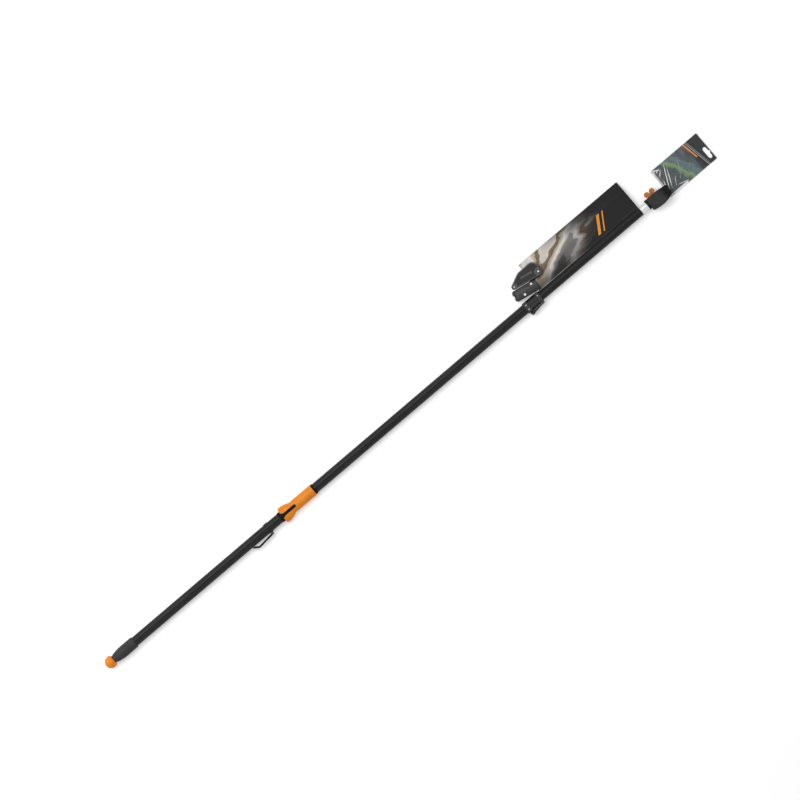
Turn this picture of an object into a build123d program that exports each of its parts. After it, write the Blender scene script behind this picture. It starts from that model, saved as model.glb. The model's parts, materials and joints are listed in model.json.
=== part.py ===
from build123d import *
from math import cos, radians, sin
import os

os.makedirs("parts", exist_ok=True)

# Clearances
SEAT_GAP = 0.05
PIN_GAP = 0.05
RUN_GAP = 0.3

# Telescoping tubes
OUTER_R = 16.5
OUTER_WALL = 1.5
OUTER_LEN = 1749.0
GROOVE_W = 5.0
GROOVE_DEPTH = 0.8
INNER_R = 14.0
INNER_WALL = 1.5
INNER_START = 107.0
TOP_BUSH_LEN = 40.0
GLIDE_FLANGE = 6.0
GLIDE_SPIGOT = 22.0
GLIDE_HOLE_R = 6.0

# Pull ball, its cord and the rubber butt grip
BALL_R = 20.5
BALL_FLAT = 11.0
CORD_R = 2.5
CORD_LEN = 620.0
CORD_IN_BALL = 20.0
FERRULE_R = 4.5
FERRULE_LEN = 14.0
BUTT_LEN = 82.0
BUTT_R = 19.2
BUTT_NECK_R = 14.2
BUTT_TAPER = 44.0
BUTT_BULGE_X = 16.0
BUTT_BULGE_R = 17.5
BUTT_FLOOR = 16.0
BUTT_LIP = 3.0
BUSH_R = 6.0
BUSH_FLANGE_R = 8.0
BUSH_FLANGE = 2.0
BUSH_LIP_R = 13.0
BUSH_LIP = 5.45

# Sliding hand grip
HAND_X = 719.0
HAND_LEN = 129.0
HAND_R = 19.5
FLARE_LEN = 49.0
FLARE_HALF_Y = 28.0
FLARE_HALF_Z = 20.0
FLARE_SLOT_W = 10.4
FLARE_SLOT_LEN = 56.0
FLARE_MOUTH_W = 19.0
FLARE_MOUTH_LEN = 9.0
LINER_R = 18.0
LINER_LOW = 10.0
LINER_HIGH = 8.0
KEY_W = 4.2
KEY_DEPTH = 0.5

# Handle lock hook
HOOK_X = 660.0
HOOK_BAR = 6.4
HOOK_HALF = 2.5
HOOK_EYE_R = 4.0
HOOK_REACH = 78.0
HOOK_KNEE = 60.0
HOOK_DEPTH = 6.0
BAND_LEN = 16.0
BAND_WALL = 1.7
BAND_OPEN = 6.0
EAR_T = 2.5
EAR_GAP = 0.4
HOOK_PIN_R = 1.5

# Telescope clamp
COLLAR_LEN = 62.0
COLLAR_SEAT = 42.0
COLLAR_R = 18.2
FLANGE_HALF = 19.4
FLANGE_EDGE = 1.2
FLANGE_CORNER = 7.0
FLANGE_LOW = 15.0
FLANGE_HIGH = 13.0
COLLAR_SPLIT = 2.0
SADDLE_W = 24.0
SADDLE_HALF = 18.0
SADDLE_GROOVE_W = 2.4
SADDLE_GROOVE_Y = -1.0
SADDLE_GROOVE_Z = 17.3
LEVER_X = 10.0
LEVER_Y = 25.5
LEVER_HUB_R = 5.6
LEVER_LEN = 52.0
LEVER_HALF = 5.2
LEVER_TIP_W = 3.6
LEVER_BELLY = 6.3
LUG_GAP = 0.4
LUG_T = 4.0
LUG_R = 6.0
CLAMP_PIN_R = 2.5
CLAMP_PIN_HEAD_R = 4.2
CLAMP_PIN_HEAD = 1.5
SCREW_R = 1.5
SCREW_LEN = 3.0
SCREW_HEAD_R = 3.3
SCREW_HEAD = 2.0
SCREW_TAPER = 20.0
SCREW_Y = 8.0

# Card sleeve over the blades
SLEEVE_GAP = 6.0
SLEEVE_SPARE = 30.0
BAND_LEAD = 5.6
PANEL_IN = 5.0
SLEEVE_WALL = 1.0
SLEEVE_REACH = 121.0
SLEEVE_HUMP_R = 15.5
POUCH_H = 20.0
FOLD_H = 7.0
FOLD_RUN = 34.0
NOTCH_DEPTH = 14.5
NOTCH_LOW = 17.0

# Saw and pruner head, stowed beside the pole
TONGUE_T = 4.0
BLADE_T = 3.0
SAW_T = 1.4
BLOCK_L = 86.0
BLOCK_W = 37.0
BLOCK_BACK = 30.4
BLOCK_Y = 44.0
BLOCK_TILT = -10.0
BLOCK_CORNER = 9.0
BODY_TOP = 15.5
COVER_TOP = 32.0
CLEVIS_GAP = 9.0
CLEVIS_DEPTH = 9.0
CLEVIS_PIN_R = 3.0
CLEVIS_PIN_INSET = 5.5
CLEVIS_PIN_SUNK = 1.5
PIVOT_IN = 40.0
PIVOT_Y = 65.6
PIVOT_R = 4.0
HUB_R = 12.0
HUB_CLEAR = 1.5
BOLT_R = 3.0
BOLT_HEAD_R = 5.4
BOLT_HEAD = 3.0
BOLT_SINK = 2.0
BOLT_SPOTS = ((26.0, 10.5), (-8.0, -9.0))
COVER_CROWN = 5.0
COVER_ROUND = 2.5
COVER_RING_X = -23.0
COVER_RING_W = 2.0
COVER_RING_DEPTH = 1.2
TANG_W = 30.0
TANG_L = 64.0
SAW_REACH = 386.0
SAW_ROOT_Y = 49.0
SAW_SAG = 6.0
SAW_ROOT_IN = 34.0
SAW_HEEL = (9.0, 21.7)
SAW_WAIST_Y = 18.5
SAW_TIP_Y = 40.0
TOOTH_PITCH = 7.0
TOOTH_H = 4.0
TOOTH_RAKE = 2.0
JAW_CREST = (52.0, 35.0)
JAW_TIP = (92.0, 6.0)
JAW_HOLLOW = (50.0, 15.0)
EDGE_CREST = (44.0, 14.0)
EDGE_TIP = (76.0, 10.0)
EDGE_BACK = (44.0, -8.0)
LEVER_T = 10.5
LEVER_LIFT = 1.0
LEVER_ROUND = 2.0
LEVER_BOSS_R = 13.0
LEVER_LOBES = ((-50.0, 21.5, 17.0), (-8.0, 20.0, 19.0))
PULLEY_BACK = 91.0
PULLEY_RISE = 11.4
PULLEY_R = 8.5
PULLEY_T = 4.0
PULLEY_V = 1.6
PULLEY_PIN_R = 2.0
FORK_END_R = 9.0
FORK_CUT_R = 10.5
FORK_PLAY = 0.25
LEVER_RIM = 4.0
LEVER_POCKET = 1.6
RIB_SPOT = (-37.0, 16.0)
RIB_L = 44.0
RIB_W = 6.0

# Tool socket at the tip, with its wing knob
TUBE_SHOW = 26.0
SOCKET_LEN = 88.0
SOCKET_SEAT = 44.0
SOCKET_LOW = 30.5
SOCKET_HIGH = 17.0
SOCKET_COLLAR = 8.0
SOCKET_COLLAR_R = 17.0
SOCKET_HALF_Z = 19.0
SOCKET_ROUND = 3.0
SEAM_W = 1.4
SEAM_DEPTH = 0.9
NOSE_LEN = 36.0
NOSE_LOW = 21.0
NOSE_HIGH = 12.0
NOSE_HALF_Z = 13.5
TOOL_BORE_R = 9.0
TOOL_BORE_LEN = 38.0
KNOB_IN = 31.0
KNOB_LOBE_R = 9.0
KNOB_LOBE_AT = 10.5
KNOB_HALF = 3.5
KNOB_HUB_R = 7.0
KNOB_HUB_LEN = 9.0
STUD_R = 3.0
STUD_BITE = 6.0

# Hang card in its clear pouch
CARD_LEN = 191.0
CARD_LOW = 29.5
CARD_HIGH = 75.0
CARD_T = 0.8
CARD_CORNER = 2.0
CARD_SLOT_W = 13.0
CARD_SLOT_L = 42.0
CARD_SLOT_IN = 12.5
CARD_SLOT_Y = 4.0
CARD_BUMP_R = 5.0
POUCH_LEN = 136.0
POUCH_TUCK = 10.0
POUCH_T = 5.0
POUCH_MARGIN = 1.4
FILM = 0.5
FILM_GAP = 1.2
CARD_PIN_R = 1.5
CARD_PIN_WALL = 1.5
CARD_PIN_BITE = NOSE_HALF_Z - TOOL_BORE_R - CARD_PIN_WALL

# Stations along the pole, measured from the centre of the ball
BUTT_X0 = BALL_FLAT + RUN_GAP + BUSH_LIP + SEAT_GAP
TUBE_X = BUTT_X0 + BUTT_FLOOR
TUBE_END = TUBE_X + OUTER_LEN
CLAMP_X = TUBE_END - COLLAR_SEAT
CLAMP_END = CLAMP_X + COLLAR_LEN
SLEEVE_X = CLAMP_END + SLEEVE_GAP
SLEEVE_END = SLEEVE_X + SAW_REACH + SLEEVE_SPARE
SOCKET_X = SLEEVE_END + TUBE_SHOW
SOCKET_END = SOCKET_X + SOCKET_LEN
INNER_END = SOCKET_X + SOCKET_SEAT
INNER_X = TUBE_X + INNER_START
INNER_LEN = INNER_END - INNER_X
POUCH_X = SOCKET_END - POUCH_TUCK
CARD_X = POUCH_X + FILM_GAP
CARD_END = CARD_X + CARD_LEN

# The hook's pin stands clear of its band, which clips round the tube
HOOK_Y = OUTER_R + SEAT_GAP + BAND_WALL + RUN_GAP + HOOK_EYE_R

# The model is centred over the floor: the clamp's lugs and the sleeve are its two sides
AXIS_H = BALL_R
AXIS_Y = (LEVER_Y + LUG_R - SLEEVE_REACH) / 2
BUTT_X = (BALL_R - CARD_END) / 2
POLE_AXIS = Axis((BUTT_X, AXIS_Y, AXIS_H), (1, 0, 0))


def across(x):
    """Plane square to the pole at station x, with Y to its right and Z up."""
    return Plane(origin=(BUTT_X + x, AXIS_Y, AXIS_H), x_dir=(0, 1, 0), z_dir=(1, 0, 0))


def level(z):
    """Plane parallel to the floor at height z, with stations along its x."""
    return Plane(origin=(BUTT_X, AXIS_Y, z))


def lengthwise():
    """Upright plane through the pole's centre line: stations along x, radii along y."""
    return Plane(origin=(BUTT_X, AXIS_Y, AXIS_H), x_dir=(1, 0, 0), z_dir=(0, -1, 0))


def beside(y):
    """Upright plane at offset y from the centre line, facing +Y, with stations along its x."""
    return Plane(origin=(BUTT_X, AXIS_Y + y, AXIS_H), x_dir=(1, 0, 0), z_dir=(0, 1, 0))


# Outer tube: a dark extrusion with four shallow grooves along it
with BuildPart() as outer_tube:
    with BuildSketch(across(TUBE_X)):
        Circle(OUTER_R)
        Circle(OUTER_R - OUTER_WALL, mode=Mode.SUBTRACT)
        with PolarLocations(OUTER_R, 4):
            Rectangle(2 * GROOVE_DEPTH, GROOVE_W, mode=Mode.SUBTRACT)
    extrude(amount=OUTER_LEN)
outer_tube.part.label = "outer_tube"
export_step(outer_tube.part, "parts/outer_tube.step")

# Inner tube: bare aluminium, sliding in the outer one
with BuildPart() as inner_tube:
    with BuildSketch(across(INNER_X)):
        Circle(INNER_R)
        Circle(INNER_R - INNER_WALL, mode=Mode.SUBTRACT)
    extrude(amount=INNER_LEN)
inner_tube.part.label = "inner_tube"
export_step(inner_tube.part, "parts/inner_tube.step")

# Top bush: the thin sleeve that guides the inner tube at the clamp
with BuildPart() as top_bush:
    with BuildSketch(across(TUBE_END - TOP_BUSH_LEN)):
        Circle(OUTER_R - OUTER_WALL - SEAT_GAP)
        Circle(INNER_R + RUN_GAP, mode=Mode.SUBTRACT)
    extrude(amount=TOP_BUSH_LEN)
top_bush.part.label = "top_bush"
export_step(top_bush.part, "parts/top_bush.step")

# Glide plug: closes the inner tube's lower end and runs in the outer tube
with BuildPart() as glide_plug:
    with BuildSketch(across(INNER_X)):
        Circle(OUTER_R - OUTER_WALL - RUN_GAP)
    extrude(amount=-GLIDE_FLANGE)
    with BuildSketch(across(INNER_X)):
        Circle(INNER_R - INNER_WALL - SEAT_GAP)
    extrude(amount=GLIDE_SPIGOT)
    with BuildSketch(across(INNER_X - GLIDE_FLANGE)):
        Circle(GLIDE_HOLE_R)
    extrude(amount=GLIDE_FLANGE + GLIDE_SPIGOT, mode=Mode.SUBTRACT)
glide_plug.part.label = "glide_plug"
export_step(glide_plug.part, "parts/glide_plug.step")

# Butt grip: rubber, with a rounded shoulder and a floor that the cord leaves through
BUTT_END = BUTT_X0 + BUTT_LEN
SHOULDER_MID = (BUTT_X0 + BUTT_BULGE_X, BUTT_BULGE_R)
with BuildPart() as butt_grip:
    with BuildSketch(lengthwise()):
        with BuildLine():
            Polyline((BUTT_X0, BUSH_R), (BUTT_X0, BUTT_NECK_R))
            ThreePointArc((BUTT_X0, BUTT_NECK_R), SHOULDER_MID, (BUTT_X0 + BUTT_TAPER, BUTT_R))
            Polyline(
                (BUTT_X0 + BUTT_TAPER, BUTT_R),
                (BUTT_END - BUTT_LIP, BUTT_R),
                (BUTT_END, (BUTT_R + OUTER_R + SEAT_GAP) / 2),
                (BUTT_END, OUTER_R + SEAT_GAP),
                (TUBE_X, OUTER_R + SEAT_GAP),
                (TUBE_X, BUSH_R),
                (BUTT_X0, BUSH_R),
            )
        make_face()
    revolve(axis=POLE_AXIS)
butt_grip.part.label = "butt_grip"
export_step(butt_grip.part, "parts/butt_grip.step")

# Cord bush: an eyelet in the grip's floor, with a dark lip that the ball rests against
BUSH_X = BUTT_X0 - SEAT_GAP
with BuildPart() as cord_bush:
    with BuildSketch(across(BUSH_X)):
        Circle(BUSH_LIP_R)
    extrude(amount=-BUSH_LIP)
    with BuildSketch(across(BUSH_X)):
        Circle(BUSH_R - SEAT_GAP)
    extrude(amount=BUTT_FLOOR + 2 * SEAT_GAP)
    with BuildSketch(across(TUBE_X + SEAT_GAP)):
        Circle(BUSH_FLANGE_R)
    extrude(amount=BUSH_FLANGE)
    with BuildSketch(across(BUSH_X - BUSH_LIP)):
        Circle(CORD_R + RUN_GAP)
    extrude(amount=BUSH_LIP + BUTT_FLOOR + 2 * BUSH_FLANGE, mode=Mode.SUBTRACT)
cord_bush.part.label = "cord_bush"
export_step(cord_bush.part, "parts/cord_bush.step")

# Pull ball: a sphere cut flat where it meets the butt
BALL_FACE_R = (BALL_R**2 - BALL_FLAT**2) ** 0.5
with BuildPart() as pull_ball:
    with BuildSketch(lengthwise()):
        with BuildLine():
            ThreePointArc((-BALL_R, 0), (0, BALL_R), (BALL_FLAT, BALL_FACE_R))
            Polyline((BALL_FLAT, BALL_FACE_R), (BALL_FLAT, 0), (-BALL_R, 0))
        make_face()
    revolve(axis=POLE_AXIS)
    with BuildSketch(across(BALL_FLAT)):
        Circle(CORD_R + SEAT_GAP)
    extrude(amount=-CORD_IN_BALL, mode=Mode.SUBTRACT)
pull_ball.part.label = "pull_ball"
export_step(pull_ball.part, "parts/pull_ball.step")

# Pull cord: taut along the tubes' centre line, from the ball to its ferrule
CORD_X = BALL_FLAT - CORD_IN_BALL
with BuildPart() as pull_cord:
    with BuildSketch(across(CORD_X)):
        Circle(CORD_R)
    extrude(amount=CORD_LEN)
pull_cord.part.label = "pull_cord"
export_step(pull_cord.part, "parts/pull_cord.step")

with BuildPart() as cord_ferrule:
    with BuildSketch(across(CORD_X + CORD_LEN - FERRULE_LEN / 2)):
        Circle(FERRULE_R)
    extrude(amount=FERRULE_LEN)
    with BuildSketch(across(CORD_X + CORD_LEN - FERRULE_LEN / 2)):
        Circle(CORD_R + SEAT_GAP)
    extrude(amount=FERRULE_LEN / 2, mode=Mode.SUBTRACT)
cord_ferrule.part.label = "cord_ferrule"
export_step(cord_ferrule.part, "parts/cord_ferrule.step")

# Hand grip: an orange shell, round above and flared below, where two slots part the flare
FLARE_STEPS = ((0.0, 0.68), (0.08, 0.93), (0.22, 1.0), (0.45, 0.82), (0.7, 0.36), (1.0, 0.0))
with BuildPart() as hand_grip:
    for along, spread in FLARE_STEPS:
        with BuildSketch(across(HAND_X + along * FLARE_LEN)):
            Ellipse(
                HAND_R + spread * (FLARE_HALF_Y - HAND_R),
                HAND_R + spread * (FLARE_HALF_Z - HAND_R),
            )
    loft()
    with BuildSketch(across(HAND_X + FLARE_LEN)):
        Circle(HAND_R)
    extrude(amount=HAND_LEN - FLARE_LEN)
    with BuildSketch(across(HAND_X)):
        Circle(LINER_R + SEAT_GAP)
    extrude(amount=HAND_LEN, mode=Mode.SUBTRACT)
    with BuildSketch(level(AXIS_H)):
        with Locations((HAND_X, 0)):
            SlotOverall(2 * FLARE_SLOT_LEN, FLARE_SLOT_W)
        with BuildLine():
            Polyline(
                (HAND_X, -FLARE_MOUTH_W / 2),
                (HAND_X + FLARE_MOUTH_LEN, -FLARE_SLOT_W / 2),
                (HAND_X + FLARE_MOUTH_LEN, FLARE_SLOT_W / 2),
                (HAND_X, FLARE_MOUTH_W / 2),
                close=True,
            )
        make_face()
    extrude(amount=FLARE_HALF_Y, both=True, mode=Mode.SUBTRACT)
hand_grip.part.label = "hand_grip"
export_step(hand_grip.part, "parts/hand_grip.step")

# Grip liner: a dark sleeve that shows at both ends, keyed to the tube's grooves
with BuildPart() as grip_liner:
    with BuildSketch(across(HAND_X - LINER_LOW)):
        Circle(LINER_R)
        Circle(OUTER_R + RUN_GAP, mode=Mode.SUBTRACT)
        with PolarLocations(OUTER_R + RUN_GAP, 2, start_angle=90):
            Rectangle(2 * (KEY_DEPTH + RUN_GAP), KEY_W)
    extrude(amount=LINER_LOW + HAND_LEN + LINER_HIGH)
grip_liner.part.label = "grip_liner"
export_step(grip_liner.part, "parts/grip_liner.step")

# Hook band: a clip round the tube's underside, open above, with two ears
EAR_Z = HOOK_HALF + EAR_GAP
EAR_ROOT = OUTER_R - BAND_WALL
with BuildPart() as hook_band:
    with BuildSketch(across(HOOK_X - BAND_LEN / 2)):
        Circle(OUTER_R + SEAT_GAP + BAND_WALL)
        with Locations((0, BAND_OPEN + OUTER_R)):
            Rectangle(3 * OUTER_R, 2 * OUTER_R, mode=Mode.SUBTRACT)
    extrude(amount=BAND_LEN)
    for ear_base in (AXIS_H + EAR_Z, AXIS_H - EAR_Z - EAR_T):
        with BuildSketch(level(ear_base)):
            with Locations((HOOK_X, -(HOOK_Y + EAR_ROOT) / 2)):
                SlotCenterToCenter(HOOK_Y - EAR_ROOT, 2 * HOOK_EYE_R, rotation=90)
        extrude(amount=EAR_T)
    with BuildSketch(across(HOOK_X - BAND_LEN / 2)):
        Circle(OUTER_R + SEAT_GAP)
    extrude(amount=BAND_LEN, mode=Mode.SUBTRACT)
    with BuildSketch(level(AXIS_H)):
        with Locations((HOOK_X, -HOOK_Y)):
            Circle(HOOK_PIN_R + SEAT_GAP)
    extrude(amount=OUTER_R, both=True, mode=Mode.SUBTRACT)
hook_band.part.label = "hook_band"
export_step(hook_band.part, "parts/hook_band.step")

with BuildPart() as hook_pin:
    with BuildSketch(level(AXIS_H)):
        with Locations((HOOK_X, -HOOK_Y)):
            Circle(HOOK_PIN_R)
    extrude(amount=EAR_Z + EAR_T, both=True)
hook_pin.part.label = "hook_pin"
export_step(hook_pin.part, "parts/hook_pin.step")

# Lock hook: a bent bar that folds back along the tube and swings out to catch the hand grip
HOOK_STOP = OUTER_R + RUN_GAP
with BuildPart() as lock_hook:
    with BuildSketch(level(AXIS_H)):
        with BuildLine():
            FilletPolyline(
                (HOOK_X, -HOOK_Y),
                (HOOK_X - HOOK_KNEE, -HOOK_Y - HOOK_DEPTH),
                (HOOK_X - HOOK_REACH, -OUTER_R),
                radius=HOOK_BAR,
            )
        trace(line_width=HOOK_BAR)
        with Locations((HOOK_X - HOOK_REACH, 0)):
            Rectangle(2 * HOOK_KNEE, 2 * HOOK_STOP, mode=Mode.SUBTRACT)
        with Locations((HOOK_X, -HOOK_Y)):
            Circle(HOOK_EYE_R)
            Circle(HOOK_PIN_R + PIN_GAP, mode=Mode.SUBTRACT)
    extrude(amount=HOOK_HALF, both=True)
lock_hook.part.label = "lock_hook"
export_step(lock_hook.part, "parts/lock_hook.step")

# Clamp collar: square flanges at both ends, a saddle and side ribs between them, two lugs for the lever
LUG_Z = LEVER_HALF + LUG_GAP
LUG_ROOT = COLLAR_R / 2
PIVOT_STATION = CLAMP_X + LEVER_X
FLANGES = ((CLAMP_X, FLANGE_LOW), (CLAMP_END - FLANGE_HIGH, FLANGE_HIGH))
SCREW_SPOTS = (
    (CLAMP_X + FLANGE_LOW / 2, SCREW_Y),
    (CLAMP_X + FLANGE_LOW / 2, -SCREW_Y),
    (CLAMP_END - FLANGE_HIGH / 2, SCREW_Y),
)
FLANGE_TOP = AXIS_H + FLANGE_HALF
with BuildPart() as clamp_collar:
    with BuildSketch(across(CLAMP_X)):
        Circle(COLLAR_R)
    extrude(amount=COLLAR_LEN)
    with BuildSketch(across(CLAMP_X)):
        Rectangle(SADDLE_W, 2 * SADDLE_HALF)
        Rectangle(2 * FLANGE_HALF, 2 * LEVER_HALF)
    extrude(amount=COLLAR_LEN)
    for flange_x, flange_len in FLANGES:
        for step in (0, FLANGE_EDGE, flange_len - FLANGE_EDGE, flange_len):
            bevel = 0 if 0 < step < flange_len else FLANGE_EDGE
            with BuildSketch(across(flange_x + step)):
                RectangleRounded(2 * (FLANGE_HALF - bevel), 2 * (FLANGE_HALF - bevel), FLANGE_CORNER - bevel)
        loft(ruled=True)
    with BuildSketch(across(CLAMP_X + FLANGE_LOW)):
        with Locations((SADDLE_GROOVE_Y, SADDLE_GROOVE_Z + FLANGE_HALF / 2)):
            Rectangle(SADDLE_GROOVE_W, FLANGE_HALF)
    extrude(amount=COLLAR_LEN - FLANGE_LOW - FLANGE_HIGH, mode=Mode.SUBTRACT)
    for lug_base in (AXIS_H + LUG_Z, AXIS_H - LUG_Z - LUG_T):
        with BuildSketch(level(lug_base)):
            with Locations((PIVOT_STATION, -(LEVER_Y + LUG_ROOT) / 2)):
                SlotCenterToCenter(LEVER_Y - LUG_ROOT, 2 * LUG_R, rotation=90)
        extrude(amount=LUG_T)
    with BuildSketch(across(CLAMP_X)):
        Circle(OUTER_R + SEAT_GAP)
    extrude(amount=COLLAR_SEAT, mode=Mode.SUBTRACT)
    with BuildSketch(across(CLAMP_X + COLLAR_SEAT)):
        Circle(INNER_R + RUN_GAP)
    extrude(amount=COLLAR_LEN - COLLAR_SEAT, mode=Mode.SUBTRACT)
    with BuildSketch(across(CLAMP_X)):
        with Locations((-COLLAR_R, 0)):
            Rectangle(COLLAR_R, COLLAR_SPLIT)
    extrude(amount=COLLAR_LEN, mode=Mode.SUBTRACT)
    with BuildSketch(level(AXIS_H)):
        with Locations((PIVOT_STATION, -LEVER_Y)):
            Circle(CLAMP_PIN_R + SEAT_GAP)
    extrude(amount=FLANGE_HALF, both=True, mode=Mode.SUBTRACT)
    with BuildSketch(level(FLANGE_TOP)):
        with Locations(*SCREW_SPOTS):
            Circle(SCREW_R + SEAT_GAP)
    extrude(amount=-SCREW_LEN - SEAT_GAP, mode=Mode.SUBTRACT)
clamp_collar.part.label = "clamp_collar"
export_step(clamp_collar.part, "parts/clamp_collar.step")

# Clamp screws: three pan-headed screws, seated on the flanges
with BuildPart() as clamp_screws:
    with BuildSketch(level(FLANGE_TOP)):
        with Locations(*SCREW_SPOTS):
            Circle(SCREW_R)
    extrude(amount=-SCREW_LEN)
    with BuildSketch(level(FLANGE_TOP)):
        with Locations(*SCREW_SPOTS):
            Circle(SCREW_HEAD_R)
    extrude(amount=SCREW_HEAD, taper=SCREW_TAPER)
clamp_screws.part.label = "clamp_screws"
export_step(clamp_screws.part, "parts/clamp_screws.step")

with BuildPart() as clamp_pin:
    with BuildSketch(level(AXIS_H)):
        with Locations((PIVOT_STATION, -LEVER_Y)):
            Circle(CLAMP_PIN_R)
    extrude(amount=LUG_Z + LUG_T + CLAMP_PIN_HEAD, both=True)
    for head_base in (AXIS_H + LUG_Z + LUG_T, AXIS_H - LUG_Z - LUG_T - CLAMP_PIN_HEAD):
        with BuildSketch(level(head_base)):
            with Locations((PIVOT_STATION, -LEVER_Y)):
                Circle(CLAMP_PIN_HEAD_R)
        extrude(amount=CLAMP_PIN_HEAD)
clamp_pin.part.label = "clamp_pin"
export_step(clamp_pin.part, "parts/clamp_pin.step")

# Clamp lever: a hub between the lugs and a curved arm along the collar's side
LEVER_IN = LEVER_HUB_R - LEVER_Y
LEVER_OUT = -LEVER_HUB_R - LEVER_Y
LEVER_TIP = PIVOT_STATION + LEVER_LEN
with BuildPart() as clamp_lever:
    with BuildSketch(level(AXIS_H)):
        with BuildLine():
            Polyline(
                (PIVOT_STATION, LEVER_OUT),
                (PIVOT_STATION, LEVER_IN),
                (LEVER_TIP, LEVER_IN),
                (LEVER_TIP, LEVER_IN - LEVER_TIP_W),
            )
            ThreePointArc(
                (LEVER_TIP, LEVER_IN - LEVER_TIP_W),
                ((PIVOT_STATION + LEVER_TIP) / 2, LEVER_IN - LEVER_BELLY),
                (PIVOT_STATION, LEVER_OUT),
            )
        make_face()
        with Locations((PIVOT_STATION, -LEVER_Y)):
            Circle(LEVER_HUB_R)
            Circle(CLAMP_PIN_R + PIN_GAP, mode=Mode.SUBTRACT)
    extrude(amount=LEVER_HALF, both=True)
clamp_lever.part.label = "clamp_lever"
export_step(clamp_lever.part, "parts/clamp_lever.step")

# Card sleeve: one folded card, a band over the tube and a pouch that narrows to a fold past the blades
POUCH_TOP = POUCH_H - AXIS_H
BAND_X = SLEEVE_X - BAND_LEAD
PIVOT_X = SLEEVE_X + PIVOT_IN
with BuildPart() as card_sleeve:
    with BuildSketch(across(BAND_X)):
        Circle(SLEEVE_HUMP_R)
        with BuildLine():
            Polyline(
                (-SLEEVE_HUMP_R, -AXIS_H),
                (SLEEVE_REACH, -AXIS_H),
                (SLEEVE_REACH, FOLD_H - AXIS_H),
                (SLEEVE_REACH - FOLD_RUN, POUCH_TOP),
                (-SLEEVE_HUMP_R, POUCH_TOP),
                close=True,
            )
        make_face()
        offset(amount=-SLEEVE_WALL, mode=Mode.SUBTRACT)
    extrude(amount=SLEEVE_END - BAND_X)
    with BuildSketch(level(0)):
        with Locations((BAND_X, (NOTCH_LOW + SLEEVE_REACH + SLEEVE_WALL) / 2)):
            Rectangle(2 * (BAND_LEAD + PANEL_IN), SLEEVE_REACH + SLEEVE_WALL - NOTCH_LOW)
    extrude(amount=POUCH_H, mode=Mode.SUBTRACT)
    with BuildSketch(level(POUCH_H)):
        with Locations((SLEEVE_X, (NOTCH_LOW + PIVOT_Y) / 2)):
            Rectangle(2 * NOTCH_DEPTH, PIVOT_Y - NOTCH_LOW)
        with Locations((SLEEVE_X, PIVOT_Y)):
            SlotOverall(2 * (PIVOT_IN + HUB_R + HUB_CLEAR), 2 * (HUB_R + HUB_CLEAR))
    extrude(amount=-2 * SLEEVE_WALL, mode=Mode.SUBTRACT)
card_sleeve.part.label = "card_sleeve"
export_step(card_sleeve.part, "parts/card_sleeve.step")

# Heights of the head's stack, from the sleeve's back panel up to the lever
TONGUE_Z = SLEEVE_WALL + RUN_GAP
HOOK_Z = TONGUE_Z + TONGUE_T
CUTTER_Z = HOOK_Z + BLADE_T + RUN_GAP
HUB_Z = CUTTER_Z + BLADE_T
LEVER_Z = POUCH_H + LEVER_LIFT
LEVER_TOP = LEVER_Z + LEVER_T
SAW_Z = BODY_TOP - SAW_T
BLOCK_X = SLEEVE_X - BLOCK_BACK
BLOCK_DIR = (cos(radians(BLOCK_TILT)), sin(radians(BLOCK_TILT)), 0)
PIVOT = (PIVOT_X, PIVOT_Y)


def on_block(z):
    """Plane parallel to the floor at height z, centred on the head's block and turned with it."""
    return Plane(origin=(BUTT_X + BLOCK_X, AXIS_Y + BLOCK_Y, z), x_dir=BLOCK_DIR)


def block_point(x, y):
    """Station and offset of a point that is given on the tilted block."""
    turn = radians(BLOCK_TILT)
    return (BLOCK_X + x * cos(turn) - y * sin(turn), BLOCK_Y + x * sin(turn) + y * cos(turn))


def block_outline():
    """Rounded block with a clevis cut into its lower end, drawn into the open sketch."""
    RectangleRounded(BLOCK_L, BLOCK_W, BLOCK_CORNER)
    with Locations((-BLOCK_L / 2, 0)):
        SlotOverall(2 * CLEVIS_DEPTH, CLEVIS_GAP, mode=Mode.SUBTRACT)


def clevis_plane():
    """Plane across the clevis, square to its pin and centred between the cheeks."""
    x, y = block_point(CLEVIS_PIN_INSET - BLOCK_L / 2, 0)
    across_block = (-BLOCK_DIR[1], BLOCK_DIR[0], 0)
    return Plane(origin=(BUTT_X + x, AXIS_Y + y, BODY_TOP), x_dir=(0, 0, 1), z_dir=across_block)


def crown(top, drop):
    """Section across the block above its split: an arch up to height top, lower by drop at its sides."""
    rise = top - BODY_TOP
    Polyline((-BLOCK_W / 2, rise - drop), (-BLOCK_W / 2, 0), (BLOCK_W / 2, 0), (BLOCK_W / 2, rise - drop))
    ThreePointArc((BLOCK_W / 2, rise - drop), (0, rise), (-BLOCK_W / 2, rise - drop))


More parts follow.
